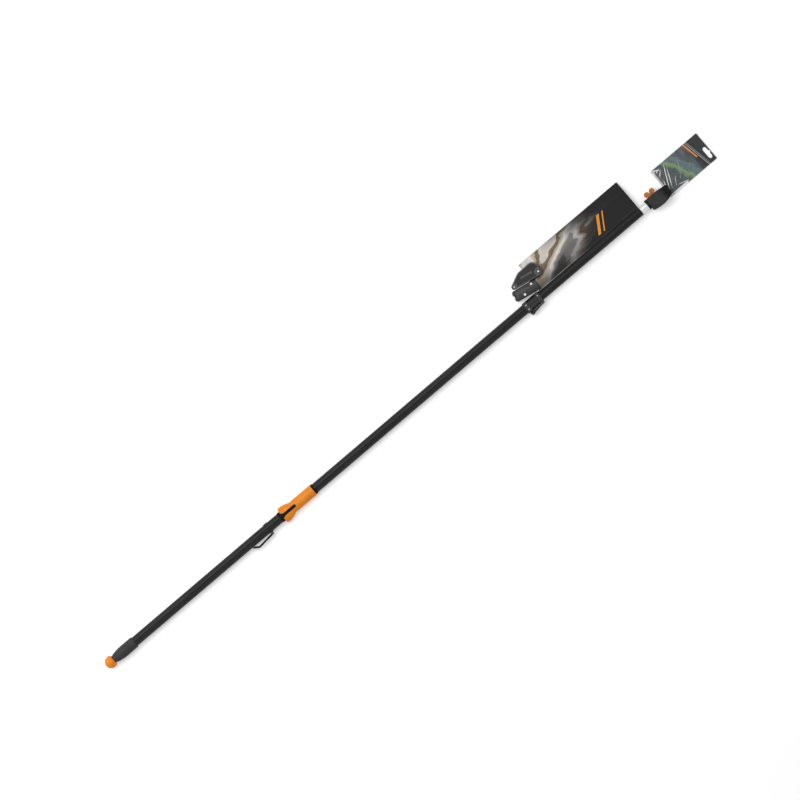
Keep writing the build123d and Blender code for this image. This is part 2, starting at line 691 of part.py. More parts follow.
# Head body: the lower half of the block, with a tongue that carries the pivot
TONGUE_ROOT = block_point(BLOCK_L / 2 - BLOCK_W / 2, 0)
with BuildPart() as head_body:
    with BuildSketch(on_block(TONGUE_Z)):
        block_outline()
    extrude(amount=BODY_TOP - TONGUE_Z)
    with BuildSketch(level(TONGUE_Z)):
        with Locations(TONGUE_ROOT):
            Circle(BLOCK_W / 2 - BLOCK_CORNER / 2)
        with Locations(PIVOT):
            Circle(HUB_R)
        make_hull()
    extrude(amount=TONGUE_T)
    with BuildSketch(on_block(BODY_TOP)):
        with Locations((BLOCK_L / 2 - TANG_L / 2, 0)):
            Rectangle(TANG_L, TANG_W)
    extrude(amount=-SAW_T - SEAT_GAP, mode=Mode.SUBTRACT)
    with BuildSketch(on_block(BODY_TOP)):
        with Locations(*BOLT_SPOTS):
            Circle(BOLT_R + SEAT_GAP)
    extrude(amount=TONGUE_Z + TONGUE_T - BODY_TOP, mode=Mode.SUBTRACT)
    with BuildSketch(level(TONGUE_Z)):
        with Locations(PIVOT):
            Circle(PIVOT_R + SEAT_GAP)
    extrude(amount=TONGUE_T, mode=Mode.SUBTRACT)
    with BuildSketch(clevis_plane()):
        Circle(CLEVIS_PIN_R + SEAT_GAP)
    extrude(amount=BLOCK_W, both=True, mode=Mode.SUBTRACT)
head_body.part.label = "head_body"
export_step(head_body.part, "parts/head_body.step")

# Head cover: the upper half of the block, arched across, with a ring groove and sunk seats for its bolts
BLOCK_SECTION = Plane(
    origin=(BUTT_X + BLOCK_X, AXIS_Y + BLOCK_Y, BODY_TOP),
    x_dir=(-BLOCK_DIR[1], BLOCK_DIR[0], 0),
    z_dir=BLOCK_DIR,
)
with BuildPart() as head_cover:
    with BuildSketch(on_block(BODY_TOP)):
        block_outline()
    extrude(amount=COVER_TOP - BODY_TOP)
    with BuildSketch(BLOCK_SECTION):
        with BuildLine():
            crown(COVER_TOP, COVER_CROWN)
        make_face()
    extrude(amount=BLOCK_L, both=True, mode=Mode.INTERSECT)
    fillet(head_cover.faces().sort_by(Axis.Z)[-1].edges(), radius=COVER_ROUND)
    with BuildSketch(BLOCK_SECTION.offset(COVER_RING_X)):
        Rectangle(2 * BLOCK_W, 2 * COVER_TOP)
        with BuildLine():
            crown(COVER_TOP - COVER_RING_DEPTH, COVER_CROWN)
        make_face(mode=Mode.SUBTRACT)
    extrude(amount=COVER_RING_W, mode=Mode.SUBTRACT)
    with BuildSketch(on_block(COVER_TOP)):
        with Locations(*BOLT_SPOTS):
            Circle(BOLT_HEAD_R + RUN_GAP)
    extrude(amount=-BOLT_SINK, mode=Mode.SUBTRACT)
    with BuildSketch(on_block(COVER_TOP)):
        with Locations(*BOLT_SPOTS):
            Circle(BOLT_R + SEAT_GAP)
    extrude(amount=BODY_TOP - COVER_TOP, mode=Mode.SUBTRACT)
    with BuildSketch(clevis_plane()):
        Circle(CLEVIS_PIN_R + SEAT_GAP)
    extrude(amount=BLOCK_W, both=True, mode=Mode.SUBTRACT)
head_cover.part.label = "head_cover"
export_step(head_cover.part, "parts/head_cover.step")

with BuildPart() as clevis_pin:
    with BuildSketch(clevis_plane()):
        Circle(CLEVIS_PIN_R)
    extrude(amount=BLOCK_W / 2 - CLEVIS_PIN_SUNK, both=True)
clevis_pin.part.label = "clevis_pin"
export_step(clevis_pin.part, "parts/clevis_pin.step")

# Head bolts: two cap heads with a socket, through cover, tang and body
with BuildPart() as head_bolts:
    with BuildSketch(on_block(TONGUE_Z + TONGUE_T)):
        with Locations(*BOLT_SPOTS):
            Circle(BOLT_R)
    extrude(amount=COVER_TOP - BOLT_SINK - TONGUE_Z - TONGUE_T)
    with BuildSketch(on_block(COVER_TOP - BOLT_SINK)):
        with Locations(*BOLT_SPOTS):
            Circle(BOLT_HEAD_R)
    extrude(amount=BOLT_HEAD)
    with BuildSketch(on_block(COVER_TOP - BOLT_SINK + BOLT_HEAD)):
        with Locations(*BOLT_SPOTS):
            RegularPolygon(BOLT_R, 6)
    extrude(amount=-BOLT_SINK, mode=Mode.SUBTRACT)
head_bolts.part.label = "head_bolts"
export_step(head_bolts.part, "parts/head_bolts.step")

# Saw blade: a curved back and a row of raked teeth, with its tang between cover and body
SAW_ROOT_X = SLEEVE_X + SAW_ROOT_IN
SAW_TIP_X = SLEEVE_X + SAW_REACH
TOOTH_COUNT = int((SAW_TIP_X - SAW_ROOT_X) / TOOTH_PITCH)


def tooth_line(x):
    """Offset of the toothed edge at station x: a shallow hollow curve from root to tip."""
    along = (x - SAW_ROOT_X) / (SAW_TIP_X - SAW_ROOT_X)
    return SAW_ROOT_Y - 4 * SAW_SAG * along * (1 - along)


teeth = [(SAW_ROOT_X, SAW_ROOT_Y)]
for tooth in range(TOOTH_COUNT):
    foot = SAW_ROOT_X + (tooth + 1) * TOOTH_PITCH
    teeth.append((foot - TOOTH_RAKE, tooth_line(foot) - TOOTH_H))
    teeth.append((foot, tooth_line(foot)))
SAW_HEEL_AT = (SLEEVE_X + SAW_HEEL[0], SAW_HEEL[1])
SAW_WAIST_AT = ((SAW_HEEL_AT[0] + SAW_TIP_X) / 2, SAW_WAIST_Y)
SAW_TIP_AT = (SAW_TIP_X, SAW_TIP_Y)
with BuildPart() as saw_blade:
    with BuildSketch(level(SAW_Z)):
        with BuildLine():
            ThreePointArc(SAW_HEEL_AT, SAW_WAIST_AT, SAW_TIP_AT)
            Polyline(SAW_TIP_AT, *reversed(teeth), block_point(BLOCK_L / 2, TANG_W / 2))
            Line(block_point(BLOCK_L / 2, TANG_W / 2), SAW_HEEL_AT)
        make_face()
    extrude(amount=SAW_T)
    with BuildSketch(on_block(SAW_Z)):
        with Locations((BLOCK_L / 2 - TANG_L / 2, 0)):
            Rectangle(TANG_L - 2 * SEAT_GAP, TANG_W - 2 * SEAT_GAP)
    extrude(amount=SAW_T)
    with BuildSketch(on_block(SAW_Z)):
        with Locations(*BOLT_SPOTS):
            Circle(BOLT_R + SEAT_GAP)
    extrude(amount=SAW_T, mode=Mode.SUBTRACT)
saw_blade.part.label = "saw_blade"
export_step(saw_blade.part, "parts/saw_blade.step")


def from_pivot(x, y):
    """Station and offset of a point that is given from the pruner's pivot."""
    return (PIVOT_X + x, PIVOT_Y + y)


# Hook blade: the fixed jaw, curved round the branch
with BuildPart() as hook_blade:
    with BuildSketch(level(HOOK_Z)):
        with BuildLine():
            ThreePointArc(from_pivot(0, HUB_R), from_pivot(*JAW_CREST), from_pivot(*JAW_TIP))
            ThreePointArc(from_pivot(*JAW_TIP), from_pivot(*JAW_HOLLOW), from_pivot(0, -HUB_R))
            Line(from_pivot(0, -HUB_R), from_pivot(0, HUB_R))
        make_face()
        with Locations(PIVOT):
            Circle(HUB_R)
            Circle(PIVOT_R + SEAT_GAP, mode=Mode.SUBTRACT)
    extrude(amount=BLADE_T)
hook_blade.part.label = "hook_blade"
export_step(hook_blade.part, "parts/hook_blade.step")

# Cutting blade: the moving jaw, clamped under the lever's hub
with BuildPart() as cutting_blade:
    with BuildSketch(level(CUTTER_Z)):
        with BuildLine():
            ThreePointArc(from_pivot(0, HUB_R), from_pivot(*EDGE_CREST), from_pivot(*EDGE_TIP))
            ThreePointArc(from_pivot(*EDGE_TIP), from_pivot(*EDGE_BACK), from_pivot(0, -HUB_R))
            Line(from_pivot(0, -HUB_R), from_pivot(0, HUB_R))
        make_face()
        with Locations(PIVOT):
            Circle(HUB_R)
            Circle(PIVOT_R + PIN_GAP, mode=Mode.SUBTRACT)
    extrude(amount=BLADE_T)
cutting_blade.part.label = "cutting_blade"
export_step(cutting_blade.part, "parts/cutting_blade.step")

# Pruner lever: a crescent arm with a hub at the pivot and a pulley fork at its other end
PULLEY_AT = from_pivot(-PULLEY_BACK, PULLEY_RISE)


def lever_outline(inset):
    """Hull of the lever's boss, fork and two lobes, all smaller by inset, drawn into the open sketch."""
    with Locations(PIVOT):
        Circle(LEVER_BOSS_R - inset)
    with Locations(PULLEY_AT):
        Circle(FORK_END_R - inset)
    for lobe_x, lobe_y, lobe_r in LEVER_LOBES:
        with Locations(from_pivot(lobe_x, lobe_y)):
            Circle(lobe_r - inset)
    make_hull()


FORK_Z = LEVER_Z + (LEVER_T - PULLEY_T) / 2 - FORK_PLAY
with BuildPart() as pruner_lever:
    with BuildSketch(level(LEVER_Z)):
        lever_outline(0)
    extrude(amount=LEVER_T)
    fillet(pruner_lever.faces().sort_by(Axis.Z)[-1].edges(), radius=LEVER_ROUND)
    with BuildSketch(level(LEVER_TOP)):
        lever_outline(LEVER_RIM)
        with Locations(PIVOT):
            Circle(LEVER_BOSS_R, mode=Mode.SUBTRACT)
        with Locations(PULLEY_AT):
            Circle(FORK_CUT_R, mode=Mode.SUBTRACT)
        with Locations(from_pivot(*RIB_SPOT)):
            SlotOverall(RIB_L, RIB_W, rotation=BLOCK_TILT, mode=Mode.SUBTRACT)
    extrude(amount=-LEVER_POCKET, mode=Mode.SUBTRACT)
    with BuildSketch(level(LEVER_Z)):
        with Locations(PIVOT):
            Circle(HUB_R)
    extrude(amount=HUB_Z - LEVER_Z)
    with BuildSketch(level(HUB_Z)):
        with Locations(PIVOT):
            Circle(PIVOT_R + PIN_GAP)
    extrude(amount=LEVER_TOP - HUB_Z, mode=Mode.SUBTRACT)
    with BuildSketch(level(FORK_Z)):
        with Locations(PULLEY_AT):
            Circle(FORK_CUT_R)
    extrude(amount=PULLEY_T + 2 * FORK_PLAY, mode=Mode.SUBTRACT)
    with BuildSketch(level(LEVER_Z)):
        with Locations(PULLEY_AT):
            Circle(PULLEY_PIN_R + SEAT_GAP)
    extrude(amount=LEVER_T, mode=Mode.SUBTRACT)
pruner_lever.part.label = "pruner_lever"
export_step(pruner_lever.part, "parts/pruner_lever.step")

# Pulley: a grooved wheel for the pull strap, between the fork's cheeks
PULLEY_AXIS = Axis((BUTT_X + PULLEY_AT[0], AXIS_Y + PULLEY_AT[1], FORK_Z), (0, 0, 1))
with BuildPart() as pulley:
    upright = Plane(origin=PULLEY_AXIS.position, x_dir=(1, 0, 0), z_dir=(0, -1, 0))
    with BuildSketch(upright):
        with BuildLine():
            Polyline(
                (PULLEY_PIN_R + PIN_GAP, FORK_PLAY),
                (PULLEY_R, FORK_PLAY),
                (PULLEY_R - PULLEY_V, FORK_PLAY + PULLEY_T / 2),
                (PULLEY_R, FORK_PLAY + PULLEY_T),
                (PULLEY_PIN_R + PIN_GAP, FORK_PLAY + PULLEY_T),
                close=True,
            )
        make_face()
    revolve(axis=PULLEY_AXIS)
pulley.part.label = "pulley"
export_step(pulley.part, "parts/pulley.step")

with BuildPart() as pulley_pin:
    with BuildSketch(level(LEVER_Z)):
        with Locations(PULLEY_AT):
            Circle(PULLEY_PIN_R)
    extrude(amount=LEVER_T)
pulley_pin.part.label = "pulley_pin"
export_step(pulley_pin.part, "parts/pulley_pin.step")

# Pivot bolt: fixed in the tongue, with the lever turning under its head
with BuildPart() as pivot_bolt:
    with BuildSketch(level(TONGUE_Z)):
        with Locations(PIVOT):
            Circle(PIVOT_R)
    extrude(amount=LEVER_TOP + RUN_GAP - TONGUE_Z)
    with BuildSketch(level(LEVER_TOP + RUN_GAP)):
        with Locations(PIVOT):
            Circle(BOLT_HEAD_R)
    extrude(amount=BOLT_HEAD)
    with BuildSketch(level(LEVER_TOP + RUN_GAP + BOLT_HEAD)):
        with Locations(PIVOT):
            RegularPolygon(BOLT_R, 6)
    extrude(amount=-BOLT_SINK, mode=Mode.SUBTRACT)
pivot_bolt.part.label = "pivot_bolt"
export_step(pivot_bolt.part, "parts/pivot_bolt.step")

# Tool socket: a block over the tube's end that narrows to a nose with an open bore
KNOB_X = SOCKET_X + KNOB_IN
KNOB_Y = SOCKET_HIGH + RUN_GAP
LOBE_Y = KNOB_Y + KNOB_LOBE_R
STUD_Y = INNER_R + RUN_GAP
CARD_PIN_AT = (SOCKET_END - POUCH_TUCK / 2, 0)
NOSE_X = SOCKET_END - NOSE_LEN
BLOCK_IN = SOCKET_X + SOCKET_COLLAR
BLOCK_FOOT = (SOCKET_LOW + NOSE_LOW) / 2
with BuildPart() as tip_socket:
    with BuildSketch(level(AXIS_H)) as socket_plan:
        with BuildLine():
            ThreePointArc(
                (BLOCK_IN, -BLOCK_FOOT),
                ((BLOCK_IN + NOSE_X) / 2, -SOCKET_LOW),
                (SOCKET_END, -NOSE_LOW),
            )
            Polyline(
                (SOCKET_END, -NOSE_LOW),
                (SOCKET_END, NOSE_HIGH),
                (NOSE_X, SOCKET_HIGH),
                (BLOCK_IN, SOCKET_HIGH),
                (BLOCK_IN, -BLOCK_FOOT),
            )
        make_face()
        fillet(socket_plan.vertices(), radius=SOCKET_ROUND)
    extrude(amount=SOCKET_HALF_Z, both=True)
    with BuildSketch(lengthwise()):
        with BuildLine():
            Polyline(
                (BLOCK_IN, -SOCKET_HALF_Z),
                (NOSE_X, -SOCKET_HALF_Z),
                (SOCKET_END, -NOSE_HALF_Z),
                (SOCKET_END, NOSE_HALF_Z),
                (NOSE_X, SOCKET_HALF_Z),
                (BLOCK_IN, SOCKET_HALF_Z),
                close=True,
            )
        make_face()
    extrude(amount=SOCKET_LOW + SOCKET_HIGH, both=True, mode=Mode.INTERSECT)
    with BuildSketch(across(NOSE_X - SEAM_W)):
        Rectangle(4 * SOCKET_LOW, 4 * SOCKET_HALF_Z)
        with Locations(((SOCKET_HIGH - SOCKET_LOW) / 2, 0)):
            Rectangle(
                SOCKET_HIGH + SOCKET_LOW - 2 * SEAM_DEPTH,
                2 * (SOCKET_HALF_Z - SEAM_DEPTH),
                mode=Mode.SUBTRACT,
            )
    extrude(amount=SEAM_W, mode=Mode.SUBTRACT)
    with BuildSketch(across(SOCKET_X)):
        Circle(SOCKET_COLLAR_R)
    extrude(amount=SOCKET_COLLAR + SOCKET_ROUND)
    with BuildSketch(across(SOCKET_X)):
        Circle(INNER_R + SEAT_GAP)
    extrude(amount=SOCKET_SEAT, mode=Mode.SUBTRACT)
    with BuildSketch(across(SOCKET_END)):
        Circle(TOOL_BORE_R)
    extrude(amount=-TOOL_BORE_LEN, mode=Mode.SUBTRACT)
    with BuildSketch(beside(STUD_Y)):
        with Locations((KNOB_X, 0)):
            Circle(STUD_R + PIN_GAP)
    extrude(amount=SOCKET_HIGH - STUD_Y, mode=Mode.SUBTRACT)
    with BuildSketch(level(AXIS_H - NOSE_HALF_Z + CARD_PIN_BITE)):
        with Locations(CARD_PIN_AT):
            Circle(CARD_PIN_R + SEAT_GAP)
    extrude(amount=-AXIS_H, mode=Mode.SUBTRACT)
tip_socket.part.label = "tip_socket"
export_step(tip_socket.part, "parts/tip_socket.step")

# Wing knob: two lobes on a hub, turning on the stud that grips the tube
with BuildPart() as wing_knob:
    with BuildSketch(level(AXIS_H)):
        with Locations((KNOB_X - KNOB_LOBE_AT, LOBE_Y), (KNOB_X + KNOB_LOBE_AT, LOBE_Y)):
            Circle(KNOB_LOBE_R)
        with Locations((KNOB_X, (KNOB_Y + LOBE_Y) / 2)):
            Rectangle(2 * KNOB_LOBE_AT, LOBE_Y - KNOB_Y)
    extrude(amount=KNOB_HALF, both=True)
    with BuildSketch(beside(KNOB_Y)):
        with Locations((KNOB_X, 0)):
            Circle(KNOB_HUB_R)
    extrude(amount=KNOB_HUB_LEN)
    with BuildSketch(beside(KNOB_Y)):
        with Locations((KNOB_X, 0)):
            Circle(STUD_R + SEAT_GAP)
    extrude(amount=STUD_BITE, mode=Mode.SUBTRACT)
wing_knob.part.label = "wing_knob"
export_step(wing_knob.part, "parts/wing_knob.step")

with BuildPart() as knob_stud:
    with BuildSketch(beside(STUD_Y)):
        with Locations((KNOB_X, 0)):
            Circle(STUD_R)
    extrude(amount=KNOB_Y + STUD_BITE - STUD_Y)
knob_stud.part.label = "knob_stud"
export_step(knob_stud.part, "parts/knob_stud.step")

# Clear pouch: a flat sleeve of film, open at both ends, pinned under the nose
CARD_W = CARD_HIGH + CARD_LOW
POUCH_W = CARD_W + 2 * POUCH_MARGIN
CARD_MID = (CARD_HIGH - CARD_LOW) / 2
CARD_Z = (POUCH_T - CARD_T) / 2
with BuildPart() as card_pouch:
    with BuildSketch(across(POUCH_X)):
        with Locations((CARD_MID, POUCH_T / 2 - AXIS_H)):
            Rectangle(POUCH_W, POUCH_T)
            Rectangle(POUCH_W - 2 * FILM, POUCH_T - 2 * FILM, mode=Mode.SUBTRACT)
    extrude(amount=POUCH_LEN)
    with BuildSketch(level(0)):
        with Locations(CARD_PIN_AT):
            Circle(CARD_PIN_R + SEAT_GAP)
    extrude(amount=POUCH_T, mode=Mode.SUBTRACT)
card_pouch.part.label = "card_pouch"
export_step(card_pouch.part, "parts/card_pouch.step")

# Hang card: a printed card with a hanging slot at its free end
SLOT_X = CARD_END - CARD_SLOT_IN
with BuildPart() as hang_card:
    with BuildSketch(level(CARD_Z)):
        with Locations(((CARD_X + CARD_END) / 2, CARD_MID)):
            RectangleRounded(CARD_LEN, CARD_W, CARD_CORNER)
        with Locations((SLOT_X, CARD_SLOT_Y)):
            SlotOverall(CARD_SLOT_L, CARD_SLOT_W, rotation=90, mode=Mode.SUBTRACT)
        with Locations((SLOT_X + CARD_BUMP_R, CARD_SLOT_Y)):
            Circle(CARD_BUMP_R, mode=Mode.SUBTRACT)
        with Locations(CARD_PIN_AT):
            Circle(CARD_PIN_R + SEAT_GAP, mode=Mode.SUBTRACT)
    extrude(amount=CARD_T)
hang_card.part.label = "hang_card"
export_step(hang_card.part, "parts/hang_card.step")

with BuildPart() as card_pin:
    with BuildSketch(level(0)):
        with Locations(CARD_PIN_AT):
            Circle(CARD_PIN_R)
    extrude(amount=AXIS_H - NOSE_HALF_Z + CARD_PIN_BITE)
card_pin.part.label = "card_pin"
export_step(card_pin.part, "parts/card_pin.step")
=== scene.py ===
# %% [markdown]
# # A telescoping pole saw, packed for the shop
# The pole lies on a pale floor: a dark outer tube, a bare inner tube, an orange grip and ball, and
# the saw head tucked into a card sleeve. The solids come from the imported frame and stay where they
# are. This script gives each one its finish, and builds again what is soft or printed.

# %% Load the frame
import json
import math

import bpy
import numpy as np
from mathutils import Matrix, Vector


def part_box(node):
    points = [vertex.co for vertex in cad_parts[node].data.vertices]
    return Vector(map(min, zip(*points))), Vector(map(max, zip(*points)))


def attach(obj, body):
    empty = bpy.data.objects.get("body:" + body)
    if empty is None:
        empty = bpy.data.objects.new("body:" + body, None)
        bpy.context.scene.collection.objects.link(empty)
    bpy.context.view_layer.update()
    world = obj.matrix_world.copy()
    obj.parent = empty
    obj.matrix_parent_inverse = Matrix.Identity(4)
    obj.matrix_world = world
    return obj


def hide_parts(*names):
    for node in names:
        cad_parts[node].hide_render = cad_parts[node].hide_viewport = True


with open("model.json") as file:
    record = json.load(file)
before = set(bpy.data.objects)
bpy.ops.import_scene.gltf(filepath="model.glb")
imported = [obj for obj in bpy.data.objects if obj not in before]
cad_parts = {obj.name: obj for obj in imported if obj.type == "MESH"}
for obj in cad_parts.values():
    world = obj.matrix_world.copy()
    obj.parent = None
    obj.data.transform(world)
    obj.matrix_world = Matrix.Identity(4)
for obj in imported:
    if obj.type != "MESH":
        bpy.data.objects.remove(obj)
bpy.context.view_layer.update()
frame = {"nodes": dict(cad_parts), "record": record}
nodes = frame["nodes"]

# %% [markdown]
# ## Where things are
# Every piece is placed from the boxes of the solids. The ball is round, so its height gives its
# radius, and the pole's centre line runs through its centre.

# %% Measure the pole
MM = 0.001
ball_low, ball_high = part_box("pull_ball")
BALL_R = (ball_high.z - ball_low.z) / 2
AXIS_X = ball_low.x + BALL_R
AXIS_Y = (ball_low.y + ball_high.y) / 2
AXIS_Z = (ball_low.z + ball_high.z) / 2
print("pole axis at y", round(AXIS_Y, 4), "z", round(AXIS_Z, 4))

# %% [markdown]
# ## The camera
# The picture looks straight down on the pole, which lies on a slant across a square frame. A long
# lens from far above keeps the pole's sides parallel, and a turn about the vertical gives the slant.

# %% Set the camera
FRAME_W = 2.56
LENS_MM = 220.0
SENSOR_MM = 36.0
CLIP_END = 100.0
POLE_RIGHT = 0.76143
POLE_UP = 0.64825
SLANT = math.atan2(POLE_UP, POLE_RIGHT)
MIDDLE_ALONG = 1.2456
MIDDLE_ACROSS = 0.0386
CENTRE_X = AXIS_X + MIDDLE_ALONG
CENTRE_Y = AXIS_Y + MIDDLE_ACROSS
camera_data = bpy.data.cameras.new("camera")
camera_data.lens = LENS_MM
camera_data.sensor_width = SENSOR_MM
camera_data.clip_end = CLIP_END
camera = bpy.data.objects.new("camera", camera_data)
camera.location = (CENTRE_X, CENTRE_Y, FRAME_W * LENS_MM / SENSOR_MM)
camera.rotation_euler = (0.0, 0.0, -SLANT)
bpy.context.scene.collection.objects.link(camera)
bpy.context.scene.camera = camera
bpy.context.scene.view_settings.view_transform = "Standard"
print("camera height", round(camera.location.z, 2))

# %% [markdown]
# ## Formulas as nodes
# A finish is a formula over the surface: a little noise here, a stripe there. Written as single
# nodes it is hard to read, so one small class wraps an output socket and lets plain arithmetic add
# the Math nodes. Its method `make` adds any other node.


# %% Wrap a socket
def plug(node, inputs):
    """Sets or links a node's input sockets, by name or number."""
    for name, value in inputs.items():
        if isinstance(value, Sock):
            node.id_data.links.new(value.socket, node.inputs[name])
        else:
            node.inputs[name].default_value = value


class Sock:
    """One output of a material's node tree, or the bare tree while socket is None."""

    def __init__(self, tree, socket=None):
        self.tree = tree
        self.socket = socket

    def make(self, kind, settings=None, inputs=None, out=0):
        """Adds a node of that kind: its settings first, then its input sockets."""
        node = self.tree.nodes.new("ShaderNode" + kind)
        for name, value in (settings or {}).items():
            if name == "stops":
                ramp = node.color_ramp.elements
                ramp.remove(ramp[1])
                ramp[0].position, ramp[0].color = value[0]
                for at, colour in value[1:]:
                    ramp.new(at).color = colour
            else:
                setattr(node, name, value)
        plug(node, inputs or {})
        return Sock(self.tree, node.outputs[out])

    def also(self, out):
        """Another output of the same node."""
        return Sock(self.tree, self.socket.node.outputs[out])

    def maths(self, operation, first, second=0.0):
        return self.make("Math", {"operation": operation}, {0: first, 1: second})

    def __add__(self, other):
        return self.maths("ADD", self, other)

    def __radd__(self, other):
        return self.maths("ADD", other, self)

    def __sub__(self, other):
        return self.maths("SUBTRACT", self, other)

    def __rsub__(self, other):
        return self.maths("SUBTRACT", other, self)

    def __mul__(self, other):
        return self.maths("MULTIPLY", self, other)

    def __rmul__(self, other):
        return self.maths("MULTIPLY", other, self)

    def size(self):
        return self.maths("ABSOLUTE", self)

    def wave(self):
        return self.maths("SINE", self)

    def larger(self, other):
        return self.maths("MAXIMUM", self, other)

    def smaller(self, other):
        return self.maths("MINIMUM", self, other)

    def rise(self, low, high):
        """0 below low and 1 above high, smooth between."""
        ends = {"Value": self, "From Min": low, "From Max": high}
        return self.make("MapRange", {"interpolation_type": "SMOOTHSTEP"}, ends)

    def fall(self, low, high):
        """1 below low and 0 above high, smooth between."""
        return 1.0 - self.rise(low, high)

    def tint(self, first, second):
        """The first colour where this is 0 and the second where it is 1."""
        return self.make("Mix", {"data_type": "RGBA"}, {0: self, 6: first, 7: second}, out=2)

    def bump(self, height):
        """A Normal from this as relief, height in metres at 1."""
        return self.make("Bump", {}, {"Height": self, "Distance": height}, out="Normal")


def begin(name):
    """A new material, its bare tree as a Sock, and the place of each point in metres."""
    finish = bpy.data.materials.new(name)
    finish.use_nodes = True
    bare = Sock(finish.node_tree)
    return finish, bare, bare.make("TexCoord", out="Object")


def noise(where, scale, detail=3.0, stretch=(1.0, 1.0, 1.0)):
    """Soft noise of about 1/scale metres, drawn out along an axis by a small stretch."""
    drawn = where.make("Mapping", {}, {"Vector": where, "Scale": stretch})
    return where.make("TexNoise", {}, {"Vector": drawn, "Scale": scale, "Detail": detail})


def surface(finish, **inputs):
    """Fills the Principled shader: base, rough, metal, normal and alpha may vary, shine is one number."""
    names = {"base": "Base Color", "rough": "Roughness", "metal": "Metallic", "normal": "Normal",
             "alpha": "Alpha", "shine": "Specular IOR Level"}
    shader = finish.node_tree.nodes["Principled BSDF"]
    plug(shader, {names[key]: value for key, value in inputs.items()})
    return finish


def rgb(red, green, blue):
    return (red, green, blue, 1.0)


def grey(tone):
    return rgb(tone, tone, tone)


print("formula class ready")

# %% [markdown]
# ## Tubes
# The outer tube is a dark anodised extrusion and the inner one is bare. Both were pulled through a
# die, which leaves fine lines along them. Noise that is stretched hundreds of times along the pole
# gives those lines, and a slow cloud keeps the gloss from being even. On the outer tube the grooves
# are painted dark as shade, and the ridges keep the lighter colour. The distance from the axis tells
# the two apart.


# %% Drawn metal
tube_low, tube_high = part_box("outer_tube")
TUBE_R = (tube_high.y - tube_low.y) / 2
GROOVE_SHADE_TONE = grey(0.003)
GROOVE_FLOOR = 0.7 * MM
GROOVE_RIM = 0.2 * MM
DIE_LINES = (1.2, 520.0, 520.0)
DIE_DEPTH = 0.06 * MM
SCUFFS = (14.0, 160.0, 160.0)
CLOUD_SCALE = 9.0


def on_ridges(where):
    """1 on the tube's round and 0 in its grooves, from the square of the distance to the axis."""
    spot = where.make("SeparateXYZ", {}, {"Vector": where})
    side = spot.also("Y") - AXIS_Y
    up = spot.also("Z") - AXIS_Z
    return (side * side + up * up).rise((TUBE_R - GROOVE_FLOOR) ** 2, (TUBE_R - GROOVE_RIM) ** 2)


def drawn_metal(name, dark, light, rough, metal, shine, shade_grooves=False):
    """Lengthwise die lines in colour, gloss and relief, over a slow cloud."""
    finish, _, where = begin(name)
    lines = noise(where, 1.0, 4.0, DIE_LINES)
    cloud = noise(where, CLOUD_SCALE)
    scuff = noise(where, 1.0, 2.0, SCUFFS).rise(0.62, 0.8)
    shade = (lines * 0.6 + cloud * 0.4).rise(0.25, 0.75)
    gloss = rough - 0.07 + lines * 0.12 + scuff * 0.1
    relief = (lines + scuff * 0.3).bump(DIE_DEPTH)
    colour = shade.tint(dark, light)
    if shade_grooves:
        # Painted shade: the grooves take a near-black tone and a rougher gloss.
        ridges = on_ridges(where)
        colour = ridges.tint(GROOVE_SHADE_TONE, colour)
        gloss = gloss + ridges.fall(0.0, 1.0) * 0.25
    return surface(finish, base=colour, rough=gloss, metal=metal, normal=relief, shine=shine)


OUTER_METAL = drawn_metal("anodised_tube", rgb(0.009, 0.009, 0.010), rgb(0.021, 0.021, 0.022),
                          rough=0.38, metal=0.0, shine=0.16, shade_grooves=True)
BARE_METAL = drawn_metal("bare_tube", rgb(0.60, 0.60, 0.61), rgb(0.74, 0.73, 0.74),
                         rough=0.36, metal=0.85, shine=0.5)
print("tube finishes made")

# %% [markdown]
# ## Rubber and moulded plastic
# Moulded pieces carry the grain of the mould's etched walls. Two sizes of noise make that grain, and
# a slow cloud lets the colour drift a little, as it does where the plastic flowed and cooled. On the
# head, the clamp and the socket what stands up, the rims, ribs and crowns, keeps the lighter colour as
# a painted highlight, and the hollows are painted dark as shade and made duller. Height alone tells the
# two apart, so one smooth step mixes them.


# %% Moulded pieces
HOLLOW_SHADE = grey(0.004)
COARSE_SHARE = 0.22
DRIFT_SCALE = 26.0
HOLLOW_ROUGH = 0.2


def moulded(name, dark, light, rough, grain, depth, shine=0.3, shade_heights=None):
    """Etched grain as relief, with slow drift in the colour and in the gloss.

    With a pair of heights, the colour is painted shade, near black, below the first and whole above the
    second, which reads as a painted highlight on what stands up.
    """
    finish, _, where = begin(name)
    fine = noise(where, 1.0 / grain, 2.0)
    coarse = noise(where, COARSE_SHARE / grain, 2.0)
    drift = noise(where, DRIFT_SCALE)
    colour = (drift * 0.7 + coarse * 0.3).rise(0.3, 0.7).tint(dark, light)
    gloss = rough - 0.06 + drift * 0.08 + fine * 0.05
    relief = (fine * 0.7 + coarse * 0.5).bump(depth)
    # Painted shade in the hollows and painted highlight on what stands up, chosen by height alone.
    if shade_heights:
        height_light = where.make("SeparateXYZ", {}, {"Vector": where}, out="Z").rise(*shade_heights)
        colour = height_light.tint(HOLLOW_SHADE, colour)
        gloss = gloss + (1.0 - height_light) * HOLLOW_ROUGH
    return surface(finish, base=colour, rough=gloss, normal=relief, shine=shine)


